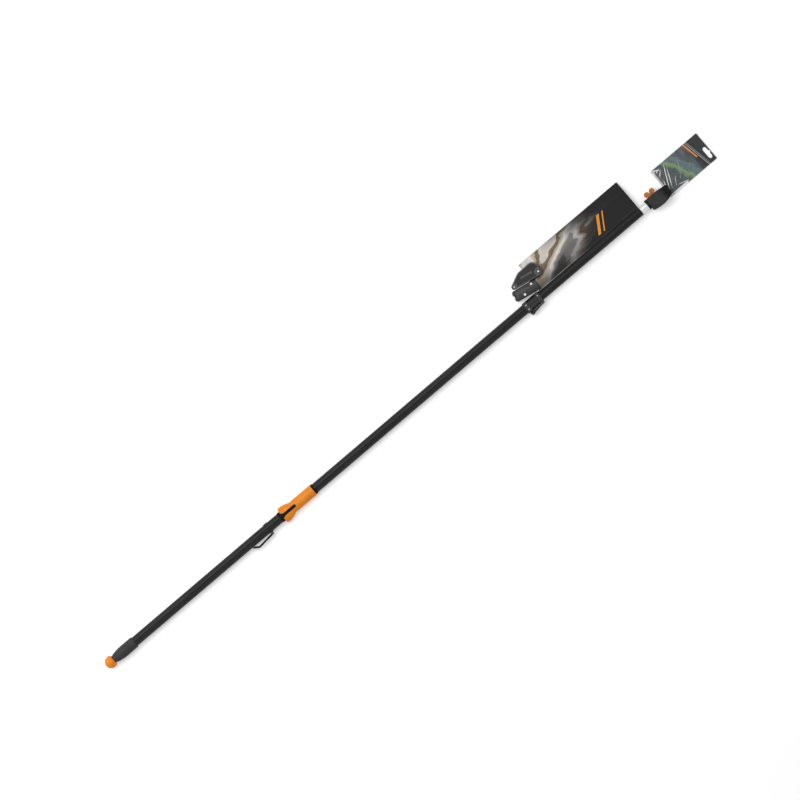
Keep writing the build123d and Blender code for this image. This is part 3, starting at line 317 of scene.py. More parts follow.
RUBBER = moulded("grey_rubber", rgb(0.026, 0.026, 0.027), rgb(0.038, 0.038, 0.039),
                 rough=0.72, grain=0.7 * MM, depth=0.12 * MM, shine=0.25)
ORANGE = moulded("orange_plastic", rgb(0.66, 0.195, 0.006), rgb(0.76, 0.240, 0.012),
                 rough=0.42, grain=0.5 * MM, depth=0.04 * MM, shine=0.25)
# A darker, browner orange for the wing knob: partly its own browner colour, partly painted shade.
SHADED_RUST = moulded("rust_orange_shaded_plastic", rgb(0.44, 0.150, 0.028), rgb(0.56, 0.190, 0.040),
               rough=0.42, grain=0.5 * MM, depth=0.04 * MM, shine=0.25)
BLACK = moulded("black_plastic", rgb(0.006, 0.006, 0.007), rgb(0.013, 0.013, 0.014),
                rough=0.34, grain=0.5 * MM, depth=0.05 * MM)
MATT = moulded("matt_black_plastic", grey(0.003), grey(0.006),
               rough=0.55, grain=0.5 * MM, depth=0.05 * MM, shine=0.08)
NYLON = moulded("nylon", rgb(0.70, 0.70, 0.67), rgb(0.80, 0.80, 0.78),
                rough=0.5, grain=0.6 * MM, depth=0.03 * MM)
print("moulded finishes made")

# %% [markdown]
# ## Steel
# Most small parts are bright steel, ground in one direction. The blades and two of the pins have a
# dark low-friction coat with faint rub marks, and the clamp's screws are duller. The bolts of the head
# are blackened, and tools have worn the middles of their heads bright: the distance from the nearest
# bolt's centre tells the bright middle from the black rim.


# %% Ground steel
BLACKENED = rgb(0.030, 0.030, 0.031)
GRIND_LINES = (2600.0, 60.0, 300.0)
GRIND_DEPTH = 0.03 * MM
MARKS_SCALE = 55.0
RIM_BLUR = 0.3 * MM


def ground_steel(name, dark, light, rough, metal, bolts=(), bright=0.0):
    """Short grinding lines across the pole, with a cloud of handling marks.

    With centres of bolts in plan, what lies further than bright from the nearest one is blackened.
    """
    finish, _, where = begin(name)
    lines = noise(where, 1.0, 3.0, GRIND_LINES)
    marks = noise(where, MARKS_SCALE, 4.0)
    colour = (lines * 0.7 + marks * 0.3).rise(0.3, 0.7).tint(dark, light)
    gloss = rough - 0.08 + lines * 0.12 + marks * 0.08
    if bolts:
        spot = where.make("SeparateXYZ", {}, {"Vector": where})
        offsets = [(spot - x, spot.also("Y") - y) for x, y in bolts]
        squares = [dx * dx + dy * dy for dx, dy in offsets]
        nearest = squares[0]
        for square in squares[1:]:
            nearest = nearest.smaller(square)
        rim = nearest.rise((bright - RIM_BLUR) ** 2, (bright + RIM_BLUR) ** 2)
        colour = rim.tint(colour, BLACKENED)
    return surface(finish, base=colour, rough=gloss, metal=metal, normal=lines.bump(GRIND_DEPTH))


STEEL_TONES = (rgb(0.42, 0.43, 0.45), rgb(0.68, 0.69, 0.71))
HEAD_R = 5.4 * MM
bolts_low, bolts_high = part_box("head_bolts")
pivot_low, pivot_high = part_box("pivot_bolt")
PIVOT_X = (pivot_low.x + pivot_high.x) / 2
PIVOT_Y = (pivot_low.y + pivot_high.y) / 2
STEEL = ground_steel("bright_steel", *STEEL_TONES, rough=0.3, metal=1.0)
DULL = ground_steel("dull_steel", rgb(0.16, 0.16, 0.17), rgb(0.30, 0.30, 0.31), rough=0.42, metal=1.0)
COATED = ground_steel("coated_steel", rgb(0.02, 0.02, 0.022), rgb(0.06, 0.06, 0.062),
                      rough=0.38, metal=0.3)
low_bolt = (bolts_low.x + HEAD_R, bolts_low.y + HEAD_R)
high_bolt = (bolts_high.x - HEAD_R, bolts_high.y - HEAD_R)
BOLTS = ground_steel("bolt_steel", *STEEL_TONES, rough=0.3, metal=1.0,
                     bolts=(low_bolt, high_bolt), bright=3.9 * MM)
PIVOT = ground_steel("pivot_steel", *STEEL_TONES, rough=0.3, metal=1.0,
                     bolts=((PIVOT_X, PIVOT_Y),), bright=3.0 * MM)
print("steel finishes made")

# %% [markdown]
# ## Dress the solids
# The record says which slot each solid takes, so one table from slot to finish dresses them all. A
# second table follows for the pieces shaded by height: how light each one is near its top, where the
# painted highlight lies, and how far below its top the painted shade takes over. A third gives a few
# small pieces a finish of their own.

# %% Assign the finishes
FINISHES = {
    "tube_black": OUTER_METAL, "bare_tube": BARE_METAL, "grey_rubber": RUBBER, "orange_plastic": ORANGE,
    "black_plastic": BLACK, "steel": STEEL, "coated_steel": COATED, "nylon": NYLON, "cord": RUBBER,
    "sleeve_card": BLACK, "printed_card": BLACK, "clear_film": NYLON,
}


def dress(piece, finish):
    """Gives a piece one material all over."""
    piece.data.materials.clear()
    piece.data.materials.append(finish)


for row in frame["record"]["subparts"]:
    dress(nodes[row["node"]], FINISHES[row["material_slot"]])
HEIGHT_SHADED = {  # two tones, shine, and the depths in mm below the top between which the painted highlight fades into painted shade
    "pruner_lever": (0.055, 0.090, 0.36, 1.7, 0.4), "head_cover": (0.024, 0.048, 0.32, 7.0, 1.2),
    "head_body": (0.020, 0.036, 0.30, 6.0, 1.0), "clamp_collar": (0.034, 0.052, 0.18, 2.2, 0.6),
    "tip_socket": (0.026, 0.040, 0.14, 3.4, 0.3),
}
for node, (dull, bright, shine, deep, shallow) in HEIGHT_SHADED.items():
    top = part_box(node)[1].z
    height_shaded = moulded(node + "_plastic", grey(dull), grey(bright), rough=0.32, grain=0.5 * MM,
                       depth=0.05 * MM, shine=shine, shade_heights=(top - deep * MM, top - shallow * MM))
    dress(nodes[node], height_shaded)
# The grip liner takes MATT, the darkest black, as painted shade at the ends of the grip.
OWN_FINISHES = {
    "wing_knob": SHADED_RUST, "clevis_pin": COATED, "clamp_screws": DULL, "head_bolts": BOLTS,
    "pivot_bolt": PIVOT, "hook_pin": COATED, "lock_hook": MATT, "grip_liner": MATT,
}
for node, finish in OWN_FINISHES.items():
    dress(nodes[node], finish)
print("dressed", len(nodes), "solids")

# %% [markdown]
# ## Surfaces from arrays
# The folded card and the film pouch are each one closed outline carried along the pole. The outline
# is an array of points, the stations are another, and numpy makes every vertex at once.
# Two such skins, one inside the other and joined at both ends, make a wall that is closed all round.


# %% Carry an outline
def even_ring(corners, count, rounds):
    """A closed outline in count even steps.

    Its corners are rounded by averaging each point with its neighbours, as often as rounds says.
    """
    ring = np.vstack([corners, corners[:1]])
    reach = np.concatenate([[0.0], np.cumsum(np.linalg.norm(np.diff(ring, axis=0), axis=1))])
    steps = np.linspace(0.0, reach[-1], count, endpoint=False)
    even = np.stack([np.interp(steps, reach, ring[:, k]) for k in range(2)], axis=1)
    for _ in range(rounds):
        even = (np.roll(even, 1, axis=0) + 2.0 * even + np.roll(even, -1, axis=0)) / 4.0
    return even


def inset(ring, wall):
    """The same outline moved inwards by wall: each point goes along the normal of its neighbours' chord."""
    chord = np.roll(ring, -1, axis=0) - np.roll(ring, 1, axis=0)
    chord /= np.linalg.norm(chord, axis=1)[:, None]
    return ring + wall * np.stack([-chord[:, 1], chord[:, 0]], axis=1)


def skin_faces(rows, columns, start, flip):
    """Quads between neighbouring rows of a grid whose columns close into a ring."""
    row, column = np.meshgrid(np.arange(rows - 1), np.arange(columns), indexing="ij")
    after = (column + 1) % columns
    quad = np.stack([row * columns + column, row * columns + after,
                     (row + 1) * columns + after, (row + 1) * columns + column], axis=-1)
    quad = quad.reshape(-1, 4) + start
    return quad[:, ::-1] if flip else quad


def link(name, vertices, faces, smooth):
    """A mesh object at the origin from an array of points and a list of faces."""
    mesh = bpy.data.meshes.new(name)
    mesh.from_pydata(vertices.tolist(), [], faces)
    mesh.polygons.foreach_set("use_smooth", np.full(len(mesh.polygons), smooth))
    piece = bpy.data.objects.new(name, mesh)
    bpy.context.scene.collection.objects.link(piece)
    return piece


def walled(name, outer, inner):
    """A tube wall from two grids of points, rows along the pole: outer skin, inner skin and two rims.

    The outer skin takes the first material, and the rest takes the second where the piece has two.
    """
    rows, columns = outer.shape[:2]
    inner_start = rows * columns
    ends = np.arange(columns)
    after = (ends + 1) % columns
    last = (rows - 1) * columns
    near = np.stack([ends, ends + inner_start, after + inner_start, after], axis=1)
    far = np.stack([ends, after, after + inner_start, ends + inner_start], axis=1) + last
    faces = np.vstack([skin_faces(rows, columns, 0, False), skin_faces(rows, columns, inner_start, True),
                       near, far])
    piece = link(name, np.vstack([outer.reshape(-1, 3), inner.reshape(-1, 3)]), faces.tolist(), True)
    skin = (rows - 1) * columns
    piece.data.polygons.foreach_set("material_index", (np.arange(len(faces)) >= skin).astype(np.int32))
    return piece


print("surface helpers ready")

# %% [markdown]
# ## The card sleeve
# The sleeve is one printed card, folded round the bare tube and the blades and glued. Its back lies
# flat, the front steps down from the hump over the tube along a crease, and the far edge narrows to
# a fold. The card gives a little between its folds, so the front is carried along the pole with a
# shallow, slow wave. A cutter takes out the opening for the saw head, which a grid can't follow.

# %% Fold the sleeve
sleeve_low, sleeve_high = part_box("card_sleeve")
CARD_WALL = 1.0 * MM
HUMP_R = 15.5 * MM
PANEL_Z = 20.0 * MM
EDGE_Z = 7.0 * MM
EDGE_RUN = 34.0 * MM
HUMP_STEPS = 40
RING_STEPS = 240
FOLD_ROUNDS = 2
SLEEVE_STEPS = 84
hump_turn = np.linspace(math.asin((PANEL_Z - AXIS_Z) / HUMP_R), math.pi, HUMP_STEPS)
hump = np.stack([AXIS_Y + HUMP_R * np.cos(hump_turn), AXIS_Z + HUMP_R * np.sin(hump_turn)], axis=1)
far_edge = sleeve_high.y
fold_corners = np.vstack([
    [[sleeve_low.y, 0.0], [far_edge, 0.0], [far_edge, EDGE_Z], [far_edge - EDGE_RUN, PANEL_Z]],
    hump,
])
sleeve_ring = even_ring(fold_corners, RING_STEPS, FOLD_ROUNDS)
sleeve_x = np.linspace(sleeve_low.x, sleeve_high.x, SLEEVE_STEPS)
FRONT_Z = 0.6 * PANEL_Z
GIVE = 0.5 * MM
GIVE_SWING = 0.4 * MM
WAVE_ALONG = 9.0
WAVE_ACROSS = 4.0


def card_wave(x, y, z):
    """How far the front gives: a sag with a slow slanted wave, nothing at the two folds and the back."""
    across = np.clip((y - AXIS_Y - HUMP_R) / (far_edge - AXIS_Y - HUMP_R), 0.0, 1.0)
    along = (x - sleeve_low.x) / (sleeve_high.x - sleeve_low.x)
    hold = np.sin(math.pi * across) * (z > FRONT_Z)
    return -hold * (GIVE + GIVE_SWING * np.sin(WAVE_ALONG * along + WAVE_ACROSS * across))


def along_pole(ring, stations):
    """The ring at every station, with the card's wave taken from its height."""
    x = np.repeat(stations[:, None], len(ring), axis=1)
    y = np.repeat(ring[None, :, 0], len(stations), axis=0)
    z = np.repeat(ring[None, :, 1], len(stations), axis=0)
    return np.stack([x, y, z + card_wave(x, y, z)], axis=-1)


card_outside = along_pole(sleeve_ring, sleeve_x)
card_inside = along_pole(inset(sleeve_ring, CARD_WALL), sleeve_x)
sleeve = walled("sleeve", card_outside, card_inside)
print("sleeve", len(sleeve.data.polygons), "faces before the opening is cut")

# %% [markdown]
# ## The print on the sleeve
# The card is printed in soft bands: warm greys and beige fade into black towards the tip, and the
# part over the tube is black. The colours are formulas over two shares of the panel, one along the
# pole and one across it. A slow cloud bends the bands, so that no edge looks ruled. Along the fold a
# pale line is painted, partly cracked ink and partly painted highlight on the crease, fading along the
# pole, and the card's two ends are worn pale.

# %% Print the sleeve
PANEL_LOW = AXIS_Y + HUMP_R
panel_span = (sleeve_high.x - sleeve_low.x, far_edge - PANEL_LOW)
PRINT, print_bare, print_where = begin("printed_sleeve")
print_x = print_bare.make("SeparateXYZ", {}, {"Vector": print_where})
along = (print_x - sleeve_low.x) * (1.0 / panel_span[0])
across = (print_x.also("Y") - PANEL_LOW) * (1.0 / panel_span[1])
height = print_x.also("Z")
cloud = noise(print_where, 14.0, 2.0, (0.6, 1.6, 1.0))
mottle = noise(print_where, 46.0, 4.0)
slant = along * 1.5 - across * 0.55 + cloud * 0.45
bands = ((slant * 9.0).wave() * 0.5 + 0.5) * 0.55 + across * 0.45
PRINT_TONES = (
    (0.0, rgb(0.012, 0.012, 0.012)), (0.16, rgb(0.06, 0.058, 0.056)), (0.175, rgb(0.15, 0.145, 0.14)),
    (0.33, rgb(0.26, 0.25, 0.24)), (0.345, rgb(0.52, 0.50, 0.48)), (0.50, rgb(0.74, 0.73, 0.71)),
    (0.515, rgb(0.60, 0.55, 0.47)), (0.66, rgb(0.36, 0.29, 0.20)), (0.675, rgb(0.13, 0.10, 0.07)),
    (0.80, rgb(0.22, 0.16, 0.10)), (0.815, rgb(0.62, 0.58, 0.52)), (1.0, rgb(0.46, 0.43, 0.39)),
)
tones = bands.make("ValToRGB", {"stops": PRINT_TONES}, {"Fac": bands + (mottle - 0.5) * 0.05})
reach = along + (across - 0.6).size() * 0.45 + (cloud - 0.5) * 0.25
black_share = reach.rise(0.34, 0.78)
low_shade = across.fall(0.05, 0.42) * 0.8
INK = rgb(0.006, 0.006, 0.007)
BAR_TONE = rgb(0.80, 0.30, 0.03)
CRACK_AND_HIGHLIGHT_TONE = rgb(0.50, 0.48, 0.45)
BAR_LEAN = 0.16
LINE_BLUR = 0.002
FIBRE_DEPTH = 0.08 * MM
picture = black_share.larger(low_shade).tint(tones, INK)


def bar(place, half):
    """1 within half of a line that leans across the panel, and 0 past a narrow blur."""
    return (along - across * BAR_LEAN - place).size().fall(half, half + LINE_BLUR)


bars = bar(0.63, 0.012).larger(bar(0.675, 0.005)) * across.rise(0.10, 0.11) * across.fall(0.62, 0.63)
front = height.rise(0.3 * PANEL_Z, 0.4 * PANEL_Z)
printed = (across.rise(0.0, 0.004) * front).tint(INK, bars.tint(picture, BAR_TONE))
# Pale line along the crease: partly cracked ink, partly painted highlight, strongest where the sleeve
# begins and fading along the pole.
fold_crack_and_highlight = across.size().fall(0.004, 0.014) * (0.45 + mottle.rise(0.35, 0.6) * 0.35)
fold_crack_and_highlight = fold_crack_and_highlight * (0.2 + along.fall(0.25, 0.60) * 0.9)
worn_end = along.fall(0.0, 0.006).larger(along.rise(0.994, 1.0)) * mottle.rise(0.4, 0.6)
wear_and_highlight = (fold_crack_and_highlight * 0.75).larger(worn_end * 0.6) * front
fibre = noise(print_where, 900.0, 2.0)
surface(PRINT, base=wear_and_highlight.tint(printed, CRACK_AND_HIGHLIGHT_TONE), rough=0.34 + mottle * 0.12 + wear_and_highlight * 0.3,
        normal=(fibre * 0.5 + mottle * 0.8).bump(FIBRE_DEPTH), shine=0.2)
print("sleeve print made")

# %% [markdown]
# ## The opening for the head
# The head's block pokes out of the sleeve and the lever's pivot stands through it, so the real card
# has a die-cut opening. A prism of that outline is subtracted from the folded wall. The cutter has
# the bare board as its material, and the cut edges take it over.

# %% Cut the opening
SLOT_R = 13.5 * MM
NOTCH_IN = 20.1 * MM
PANEL_IN = 10.6 * MM
NOTCH_LOW = AXIS_Y + 17.0 * MM
OPENING_DEPTH = 6.0 * MM
CUT_PAST = 5.0 * MM
CUT_OVER = 2.0 * MM
SLOT_STEPS = 25
slot_turn = np.linspace(math.pi / 2, -math.pi / 2, SLOT_STEPS)
slot_round = np.stack([PIVOT_X + SLOT_R * np.cos(slot_turn), PIVOT_Y + SLOT_R * np.sin(slot_turn)], axis=1)
outside = sleeve_low.x - CUT_PAST
notch_edge = sleeve_low.x + NOTCH_IN
opening = np.vstack([
    [[outside, PIVOT_Y + SLOT_R]],
    slot_round,
    [[notch_edge, PIVOT_Y - SLOT_R], [notch_edge, NOTCH_LOW], [outside, NOTCH_LOW]],
])[::-1]


def prism(name, outline, bottom, top):
    """An outline in plan, counter-clockwise, raised from bottom to top and closed at both ends."""
    count = len(outline)
    floor_ring = np.column_stack([outline, np.full(count, bottom)])
    roof_ring = np.column_stack([outline, np.full(count, top)])
    step = np.arange(count)
    after = (step + 1) % count
    sides = np.stack([step, after, after + count, step + count], axis=1).tolist()
    ends = [step[::-1].tolist(), (step + count).tolist()]
    return link(name, np.vstack([floor_ring, roof_ring]), sides + ends, False)


def cut(piece, cutter):
    """Subtracts the cutter, keeps the result as the piece's mesh and throws the cutter away."""
    change = piece.modifiers.new("cut", "BOOLEAN")
    change.operation = "DIFFERENCE"
    change.solver = "EXACT"
    change.object = cutter
    change.material_mode = "TRANSFER"
    seen = piece.evaluated_get(bpy.context.evaluated_depsgraph_get())
    result = bpy.data.meshes.new_from_object(seen)
    piece.modifiers.clear()
    piece.data = result
    bpy.data.objects.remove(cutter)


BOARD = moulded("board_core", rgb(0.42, 0.40, 0.36), rgb(0.52, 0.50, 0.46),
                rough=0.85, grain=0.8 * MM, depth=0.04 * MM)
for finish in (PRINT, BOARD):
    sleeve.data.materials.append(finish)
panel_edge = sleeve_low.x + PANEL_IN
beyond = far_edge + MM
trim = np.array([[outside, NOTCH_LOW], [panel_edge, NOTCH_LOW], [panel_edge, beyond], [outside, beyond]])
for outline, bottom in ((opening, PANEL_Z - OPENING_DEPTH), (trim, -CUT_OVER)):
    cutter = prism("cutter", outline, bottom, PANEL_Z + CUT_OVER)
    cutter.data.materials.append(BOARD)
    cut(sleeve, cutter)
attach(sleeve, "inner_pole")
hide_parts("card_sleeve")
print("sleeve", len(sleeve.data.polygons), "faces,", [slot.name for slot in sleeve.data.materials])

# %% [markdown]
# ## The film pouch
# A clear bag holds the lower part of the hang card. Film that thin shows mostly by its creases, so
# the pouch is a flat ring carried along the pole, whose top layer rises in a handful of long slanted
# ridges. Each ridge is a narrow bell across its own line and a wide bell along it.

# %% Crease the film
pouch_low, pouch_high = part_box("card_pouch")
card_low, card_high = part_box("hang_card")
FILM_WALL = 0.15 * MM
FILM_TOP = card_high.z + 3.0 * FILM_WALL
FILM_SPARE = 0.2 * MM
FILM_RING_STEPS = 300
FILM_ROUNDS = 1
FILM_STEPS = 150
CRUMPLE = 0.1 * MM
CRUMPLE_WAVES = ((310.0, 170.0), (140.0, -260.0))
RIDGES = (  # shares along and across the film, lean in degrees, half length and half width in mm, height
    (0.21, 0.54, 64.0, 46.0, 1.5, 1.0), (0.26, 0.48, 66.0, 36.0, 1.3, 0.9),
    (0.06, 0.33, 74.0, 26.0, 1.5, 0.9), (0.15, 0.76, 48.0, 16.0, 1.4, 0.8),
    (0.10, 0.92, -26.0, 15.0, 1.9, 1.0), (0.14, 0.87, 22.0, 10.0, 1.5, 0.9),
    (0.05, 0.88, 62.0, 10.0, 1.5, 0.9), (0.33, 0.30, 58.0, 26.0, 1.2, 0.6),
    (0.44, 0.12, -14.0, 24.0, 1.5, 0.7), (0.50, 0.34, 55.0, 22.0, 1.2, 0.4),
    (0.64, 0.66, 63.0, 28.0, 1.2, 0.4), (0.82, 0.40, 57.0, 24.0, 1.2, 0.35),
)
film_span = (pouch_high.x - pouch_low.x, pouch_high.y - pouch_low.y)


def crease_height(x, y):
    """The highest of the ridges, 0 to 1: a bell across each ridge's line times a wider bell along it."""
    height = np.zeros_like(x)
    for along, across, turn, reach, wide, tall in RIDGES:
        lean = math.radians(turn)
        dx = x - pouch_low.x - along * film_span[0]
        dy = y - pouch_low.y - across * film_span[1]
        off = dx * math.sin(lean) - dy * math.cos(lean)
        run = dx * math.cos(lean) + dy * math.sin(lean)
        bell = np.exp(-(off / (wide * MM)) ** 2 - (run / (reach * MM)) ** 2)
        height = np.maximum(height, tall * bell)
    return height


def film_grid(ring, stations):
    """The ring at every station: its top rises with the ridges and a faint crumple, its floor is still."""
    x = np.repeat(stations[:, None], len(ring), axis=1)
    y = np.repeat(ring[None, :, 0], len(stations), axis=0)
    z = np.repeat(ring[None, :, 1], len(stations), axis=0)
    one_way, other_way = (np.sin(turn_x * x + turn_y * y) for turn_x, turn_y in CRUMPLE_WAVES)
    crumple = CRUMPLE * (1.0 + one_way * other_way)
    lift = (pouch_high.z - FILM_TOP - FILM_SPARE) * crease_height(x, y) + crumple
    return np.stack([x, y, z + lift * np.clip(z / FILM_TOP, 0.0, 1.0) ** 4], axis=-1)


film_ring = even_ring(np.array([[pouch_low.y, FILM_WALL], [pouch_high.y, FILM_WALL],
                                [pouch_high.y, FILM_TOP], [pouch_low.y, FILM_TOP]]),
                      FILM_RING_STEPS, FILM_ROUNDS)
film_x = np.linspace(pouch_low.x, pouch_high.x, FILM_STEPS)
pouch = walled("film_pouch", film_grid(film_ring, film_x), film_grid(inset(film_ring, FILM_WALL), film_x))
print("film", len(pouch.data.polygons), "faces")

# %% [markdown]
# ## The film's finish
# Clear film is hard to see where it lies flat. Where it is creased it carries a white painted
# highlight, and where it is welded it is white. The grid above is too coarse for a clean edge on a
# ridge two millimetres wide, so the finish works out the same bells again for each point of the
# picture. It whitens the welded seams as well, and everywhere else it lets nearly all the light through.


# %% Clear film
def ridge_share(spot):
    """The ridges of crease_height as a formula in the finish: the highest bell, e to minus the squares."""
    x = spot - pouch_low.x
    y = spot.also("Y") - pouch_low.y
    highest = 0.0
    for along, across, turn, reach, wide, tall in RIDGES:
        lean = math.radians(turn)
        dx = x - along * film_span[0]
        dy = y - across * film_span[1]
        off = (dx * math.sin(lean) - dy * math.cos(lean)) * (1.0 / (wide * MM))
        run = (dx * math.cos(lean) + dy * math.sin(lean)) * (1.0 / (reach * MM))
        bell = spot.maths("POWER", math.exp(-1.0), off * off + run * run)
        highest = (bell * tall).larger(highest)
    return highest


film, _, film_where = begin("clear_film")
film_haze = noise(film_where, 60.0, 3.0, (1.0, 0.4, 1.0)).rise(0.45, 0.75)
film_spot = film_where.make("SeparateXYZ", {}, {"Vector": film_where})
film_ridge_highlight = ridge_share(film_spot) * film_spot.also("Z").rise(0.4 * FILM_TOP, 0.6 * FILM_TOP)
END_SEAL = (5.0 * MM, 8.0 * MM)
SIDE_SEAL = (7.0 * MM, 8.5 * MM)
WELD_SHARES = (0.50, 0.58)
end_seal = film_spot.fall(*(pouch_low.x + wide for wide in END_SEAL))
side_seal = film_spot.also("Y").fall(*(pouch_low.y + wide for wide in SIDE_SEAL))
welded = film_spot.fall(*(pouch_low.x + share * film_span[0] for share in WELD_SHARES))
seal = (end_seal * 0.45).larger(side_seal * welded * 0.92)
# The ridges of the top layer take a white painted highlight through the alpha, and the seals are white
# film.
surface(film, base=rgb(0.92, 0.94, 0.94), rough=0.12 + film_haze * 0.15, shine=0.3,
        alpha=0.03 + film_haze * 0.04 + (film_ridge_highlight.rise(0.22, 0.70) * 0.88).larger(seal))
dress(pouch, film)
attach(pouch, "inner_pole")
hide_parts("card_pouch")
print("film finish made")

# %% [markdown]
# ## The pull cord
# The ball ends a cord that runs up inside the tubes. It shows only while the ball is pulled out, so
# it lies straight in the bore, from the ball to its crimped ferrule. A cord is a curve with a round
# bevel. Two sets of slanted stripes, one each way round, weave its braid.

# %% Run the cord
cord_low, cord_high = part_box("pull_cord")
CORD_R = (cord_high.z - cord_low.z) / 2
CORD_POINTS = 5
BEVEL_STEPS = 5
cord_curve = bpy.data.curves.new("pull_cord_braid", "CURVE")
cord_curve.dimensions = "3D"
cord_curve.bevel_depth = CORD_R
cord_curve.bevel_resolution = BEVEL_STEPS
cord_curve.use_fill_caps = True
cord_line = cord_curve.splines.new("NURBS")
cord_stops = np.linspace(cord_low.x, cord_high.x, CORD_POINTS)
cord_line.points.add(len(cord_stops) - 1)
for point, stop in zip(cord_line.points, cord_stops):
    point.co = (stop, AXIS_Y, AXIS_Z, 1.0)
cord_line.order_u = 3
cord_line.use_endpoint_u = True
cord = bpy.data.objects.new("pull_cord_braid", cord_curve)
bpy.context.scene.collection.objects.link(cord)

braid, braid_bare, braid_where = begin("braided_cord")
braid_x = braid_bare.make("SeparateXYZ", {}, {"Vector": braid_where})
spoke_y = braid_x.also("Y") - AXIS_Y
spoke_z = braid_x.also("Z") - AXIS_Z
angle = braid_bare.maths("ARCTAN2", spoke_y, spoke_z)
STRANDS = 6.0
LAY_LENGTH = 9.0 * MM
BRAID_DEPTH = 0.4 * MM
PITCH = 2.0 * math.pi / LAY_LENGTH
one_way = (angle * STRANDS + braid_x * PITCH).wave()
other_way = (angle * STRANDS - braid_x * PITCH).wave()
weave = (one_way.larger(other_way) * 0.5 + 0.5).rise(0.3, 1.0)
surface(braid, base=weave.tint(rgb(0.012, 0.012, 0.013), rgb(0.060, 0.060, 0.062)), rough=0.82,
        normal=weave.bump(BRAID_DEPTH))
dress(cord, braid)
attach(cord, "pull_ball")
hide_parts("pull_cord")
print("cord", round(cord_high.x - cord_low.x, 3), "m")

# %% [markdown]
# ## The print on the hang card
# The hang card is dark slate with bands of green and teal that run across it on a slant, two fine pale
# rules and one orange stripe. The bands are a colour ramp over a share that a slow cloud bends, and the
# lines are steps over the same kind of shares as on the sleeve.

# %% Print the hang card
CARD_PRINT, card_bare, card_where = begin("printed_hang_card")
card_x = card_bare.make("SeparateXYZ", {}, {"Vector": card_where})
card_along = (card_x - card_low.x) * (1.0 / (card_high.x - card_low.x))
card_across = (card_x.also("Y") - card_low.y) * (1.0 / (card_high.y - card_low.y))
card_cloud = noise(card_where, 22.0, 3.0)
card_slant = card_along + card_across * 0.28 + (card_cloud - 0.5) * 0.30
CARD_TONES = (
    (0.0, rgb(0.022, 0.027, 0.029)), (0.34, rgb(0.034, 0.041, 0.043)), (0.35, rgb(0.016, 0.022, 0.023)),
    (0.48, rgb(0.030, 0.062, 0.056)), (0.49, rgb(0.085, 0.150, 0.070)), (0.57, rgb(0.170, 0.270, 0.110)),
    (0.58, rgb(0.055, 0.115, 0.100)), (0.70, rgb(0.075, 0.135, 0.140)), (0.71, rgb(0.034, 0.060, 0.072)),
    (0.84, rgb(0.026, 0.034, 0.040)), (0.85, rgb(0.016, 0.017, 0.020)), (1.0, rgb(0.022, 0.023, 0.026)),
)
RULE_TONE = rgb(0.55, 0.56, 0.55)
STRIPE_TONE = rgb(0.78, 0.30, 0.05)
CARD_EDGE_TONE = rgb(0.4, 0.4, 0.38)
RULE_LEAN = 0.10
CARD_GRAIN_DEPTH = 0.03 * MM
glow = card_slant.make("ValToRGB", {"stops": CARD_TONES}, {"Fac": card_slant})


def rule(place, half):
    """1 within half of a line that leans across the card, and 0 past a narrow blur."""
    return (card_along + card_across * RULE_LEAN - place).size().fall(half, half + LINE_BLUR)


rules = rule(0.84, 0.004).larger(rule(0.865, 0.002))
stripe = rule(0.80, 0.012) * card_across.rise(0.42, 0.43)
lined = stripe.tint((rules * 0.8).tint(glow, RULE_TONE), STRIPE_TONE)
card_edge = card_along.rise(0.988, 0.998).larger(card_across.rise(0.985, 0.998)) * card_cloud.rise(0.4, 0.6)
surface(CARD_PRINT, base=(card_edge * 0.5).tint(lined, CARD_EDGE_TONE), rough=0.30 + card_cloud * 0.12,
        normal=noise(card_where, 700.0, 2.0).bump(CARD_GRAIN_DEPTH), shine=0.35)
dress(nodes["hang_card"], CARD_PRINT)
print("hang card print made")

# %% [markdown]
# ## Floor and light
# A pale floor carries the pole, and the light is plain: an even white sky, one broad soft lamp
# overhead and a second from the side, which draws a line of gloss along the tubes. The lamps fade with
# distance, so the floor also glows a little for the eye alone, more the further out it lies. That keeps
# it white up to the horizon, and the pole still throws its shadow on it.

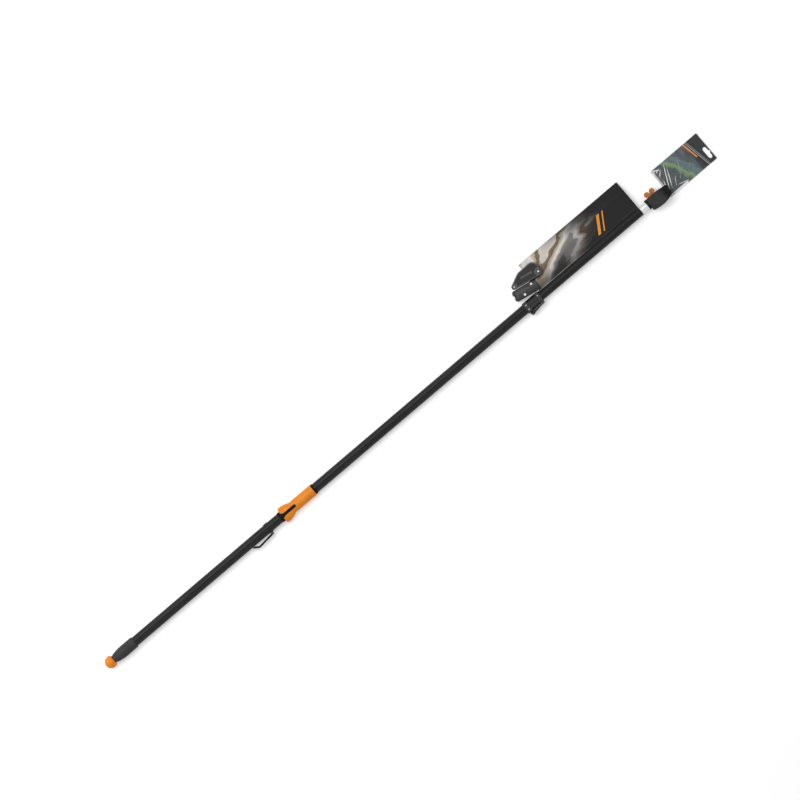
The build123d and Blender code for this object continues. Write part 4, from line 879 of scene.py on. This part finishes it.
# %% Stage
FLOOR_HALF = 24.0
FLOOR_Z = -0.4 * MM
floor_mesh = bpy.data.meshes.new("floor")
corners = [(-FLOOR_HALF, -FLOOR_HALF, FLOOR_Z), (FLOOR_HALF, -FLOOR_HALF, FLOOR_Z),
           (FLOOR_HALF, FLOOR_HALF, FLOOR_Z), (-FLOOR_HALF, FLOOR_HALF, FLOOR_Z)]
floor_mesh.from_pydata(corners, [], [(0, 1, 2, 3)])
floor = bpy.data.objects.new("floor", floor_mesh)
bpy.context.scene.collection.objects.link(floor)
floor_finish, floor_bare, floor_where = begin("pale_floor")
floor_tone = noise(floor_where, 3.0).rise(0.3, 0.7)
surface(floor_finish, base=floor_tone.tint(grey(0.93), grey(0.95)), rough=0.85)


def seen_directly(bare):
    """1 for light that reaches the eye straight, off a polished face or through film, and else 0."""
    path = bare.make("LightPath", out="Is Camera Ray")
    return path.larger(path.also("Is Glossy Ray")).larger(path.also("Is Transmission Ray"))


LIFT_NEAR = grey(0.30)
LIFT_FAR = grey(0.60)
LIFT_FROM = 1.4
LIFT_TO = 6.0
floor_x = floor_bare.make("SeparateXYZ", {}, {"Vector": floor_where})
floor_y = floor_x.also("Y")
lift = (floor_x * floor_x + floor_y * floor_y).rise(LIFT_FROM ** 2, LIFT_TO ** 2).tint(LIFT_NEAR, LIFT_FAR)
floor_glow = floor_bare.make("Emission", {}, {"Color": lift, "Strength": seen_directly(floor_bare)})
floor_matt = Sock(floor_finish.node_tree, floor_finish.node_tree.nodes["Principled BSDF"].outputs[0])
floor_sum = floor_bare.make("AddShader", {}, {0: floor_matt, 1: floor_glow})
plug(floor_finish.node_tree.nodes["Material Output"], {"Surface": floor_sum})
dress(floor, floor_finish)

world = bpy.data.worlds.new("studio")
bpy.context.scene.world = world
world.use_nodes = True
sky = world.node_tree.nodes["Background"]
sky.inputs["Color"].default_value = grey(1.0)
SKY_LIGHT = 0.45
plug(sky, {"Strength": SKY_LIGHT + seen_directly(Sock(world.node_tree)) * (1.0 - SKY_LIGHT)})


def lamp(name, place, side, watts):
    """A square soft lamp that faces the middle of the pole."""
    data = bpy.data.lights.new(name, "AREA")
    data.shape = "SQUARE"
    data.size = side
    data.energy = watts
    piece = bpy.data.objects.new(name, data)
    piece.location = place
    aim = -np.array(place)
    piece.rotation_euler = (math.acos(-aim[2] / np.linalg.norm(aim)), 0.0,
                            math.atan2(aim[1], aim[0]) - math.pi / 2)
    bpy.context.scene.collection.objects.link(piece)


lamp("overhead", place=(-0.6, 1.4, 3.6), side=2.4, watts=78.0)
lamp("side", place=(-2.8, 1.8, 1.9), side=1.5, watts=36.0)
print("stage set")
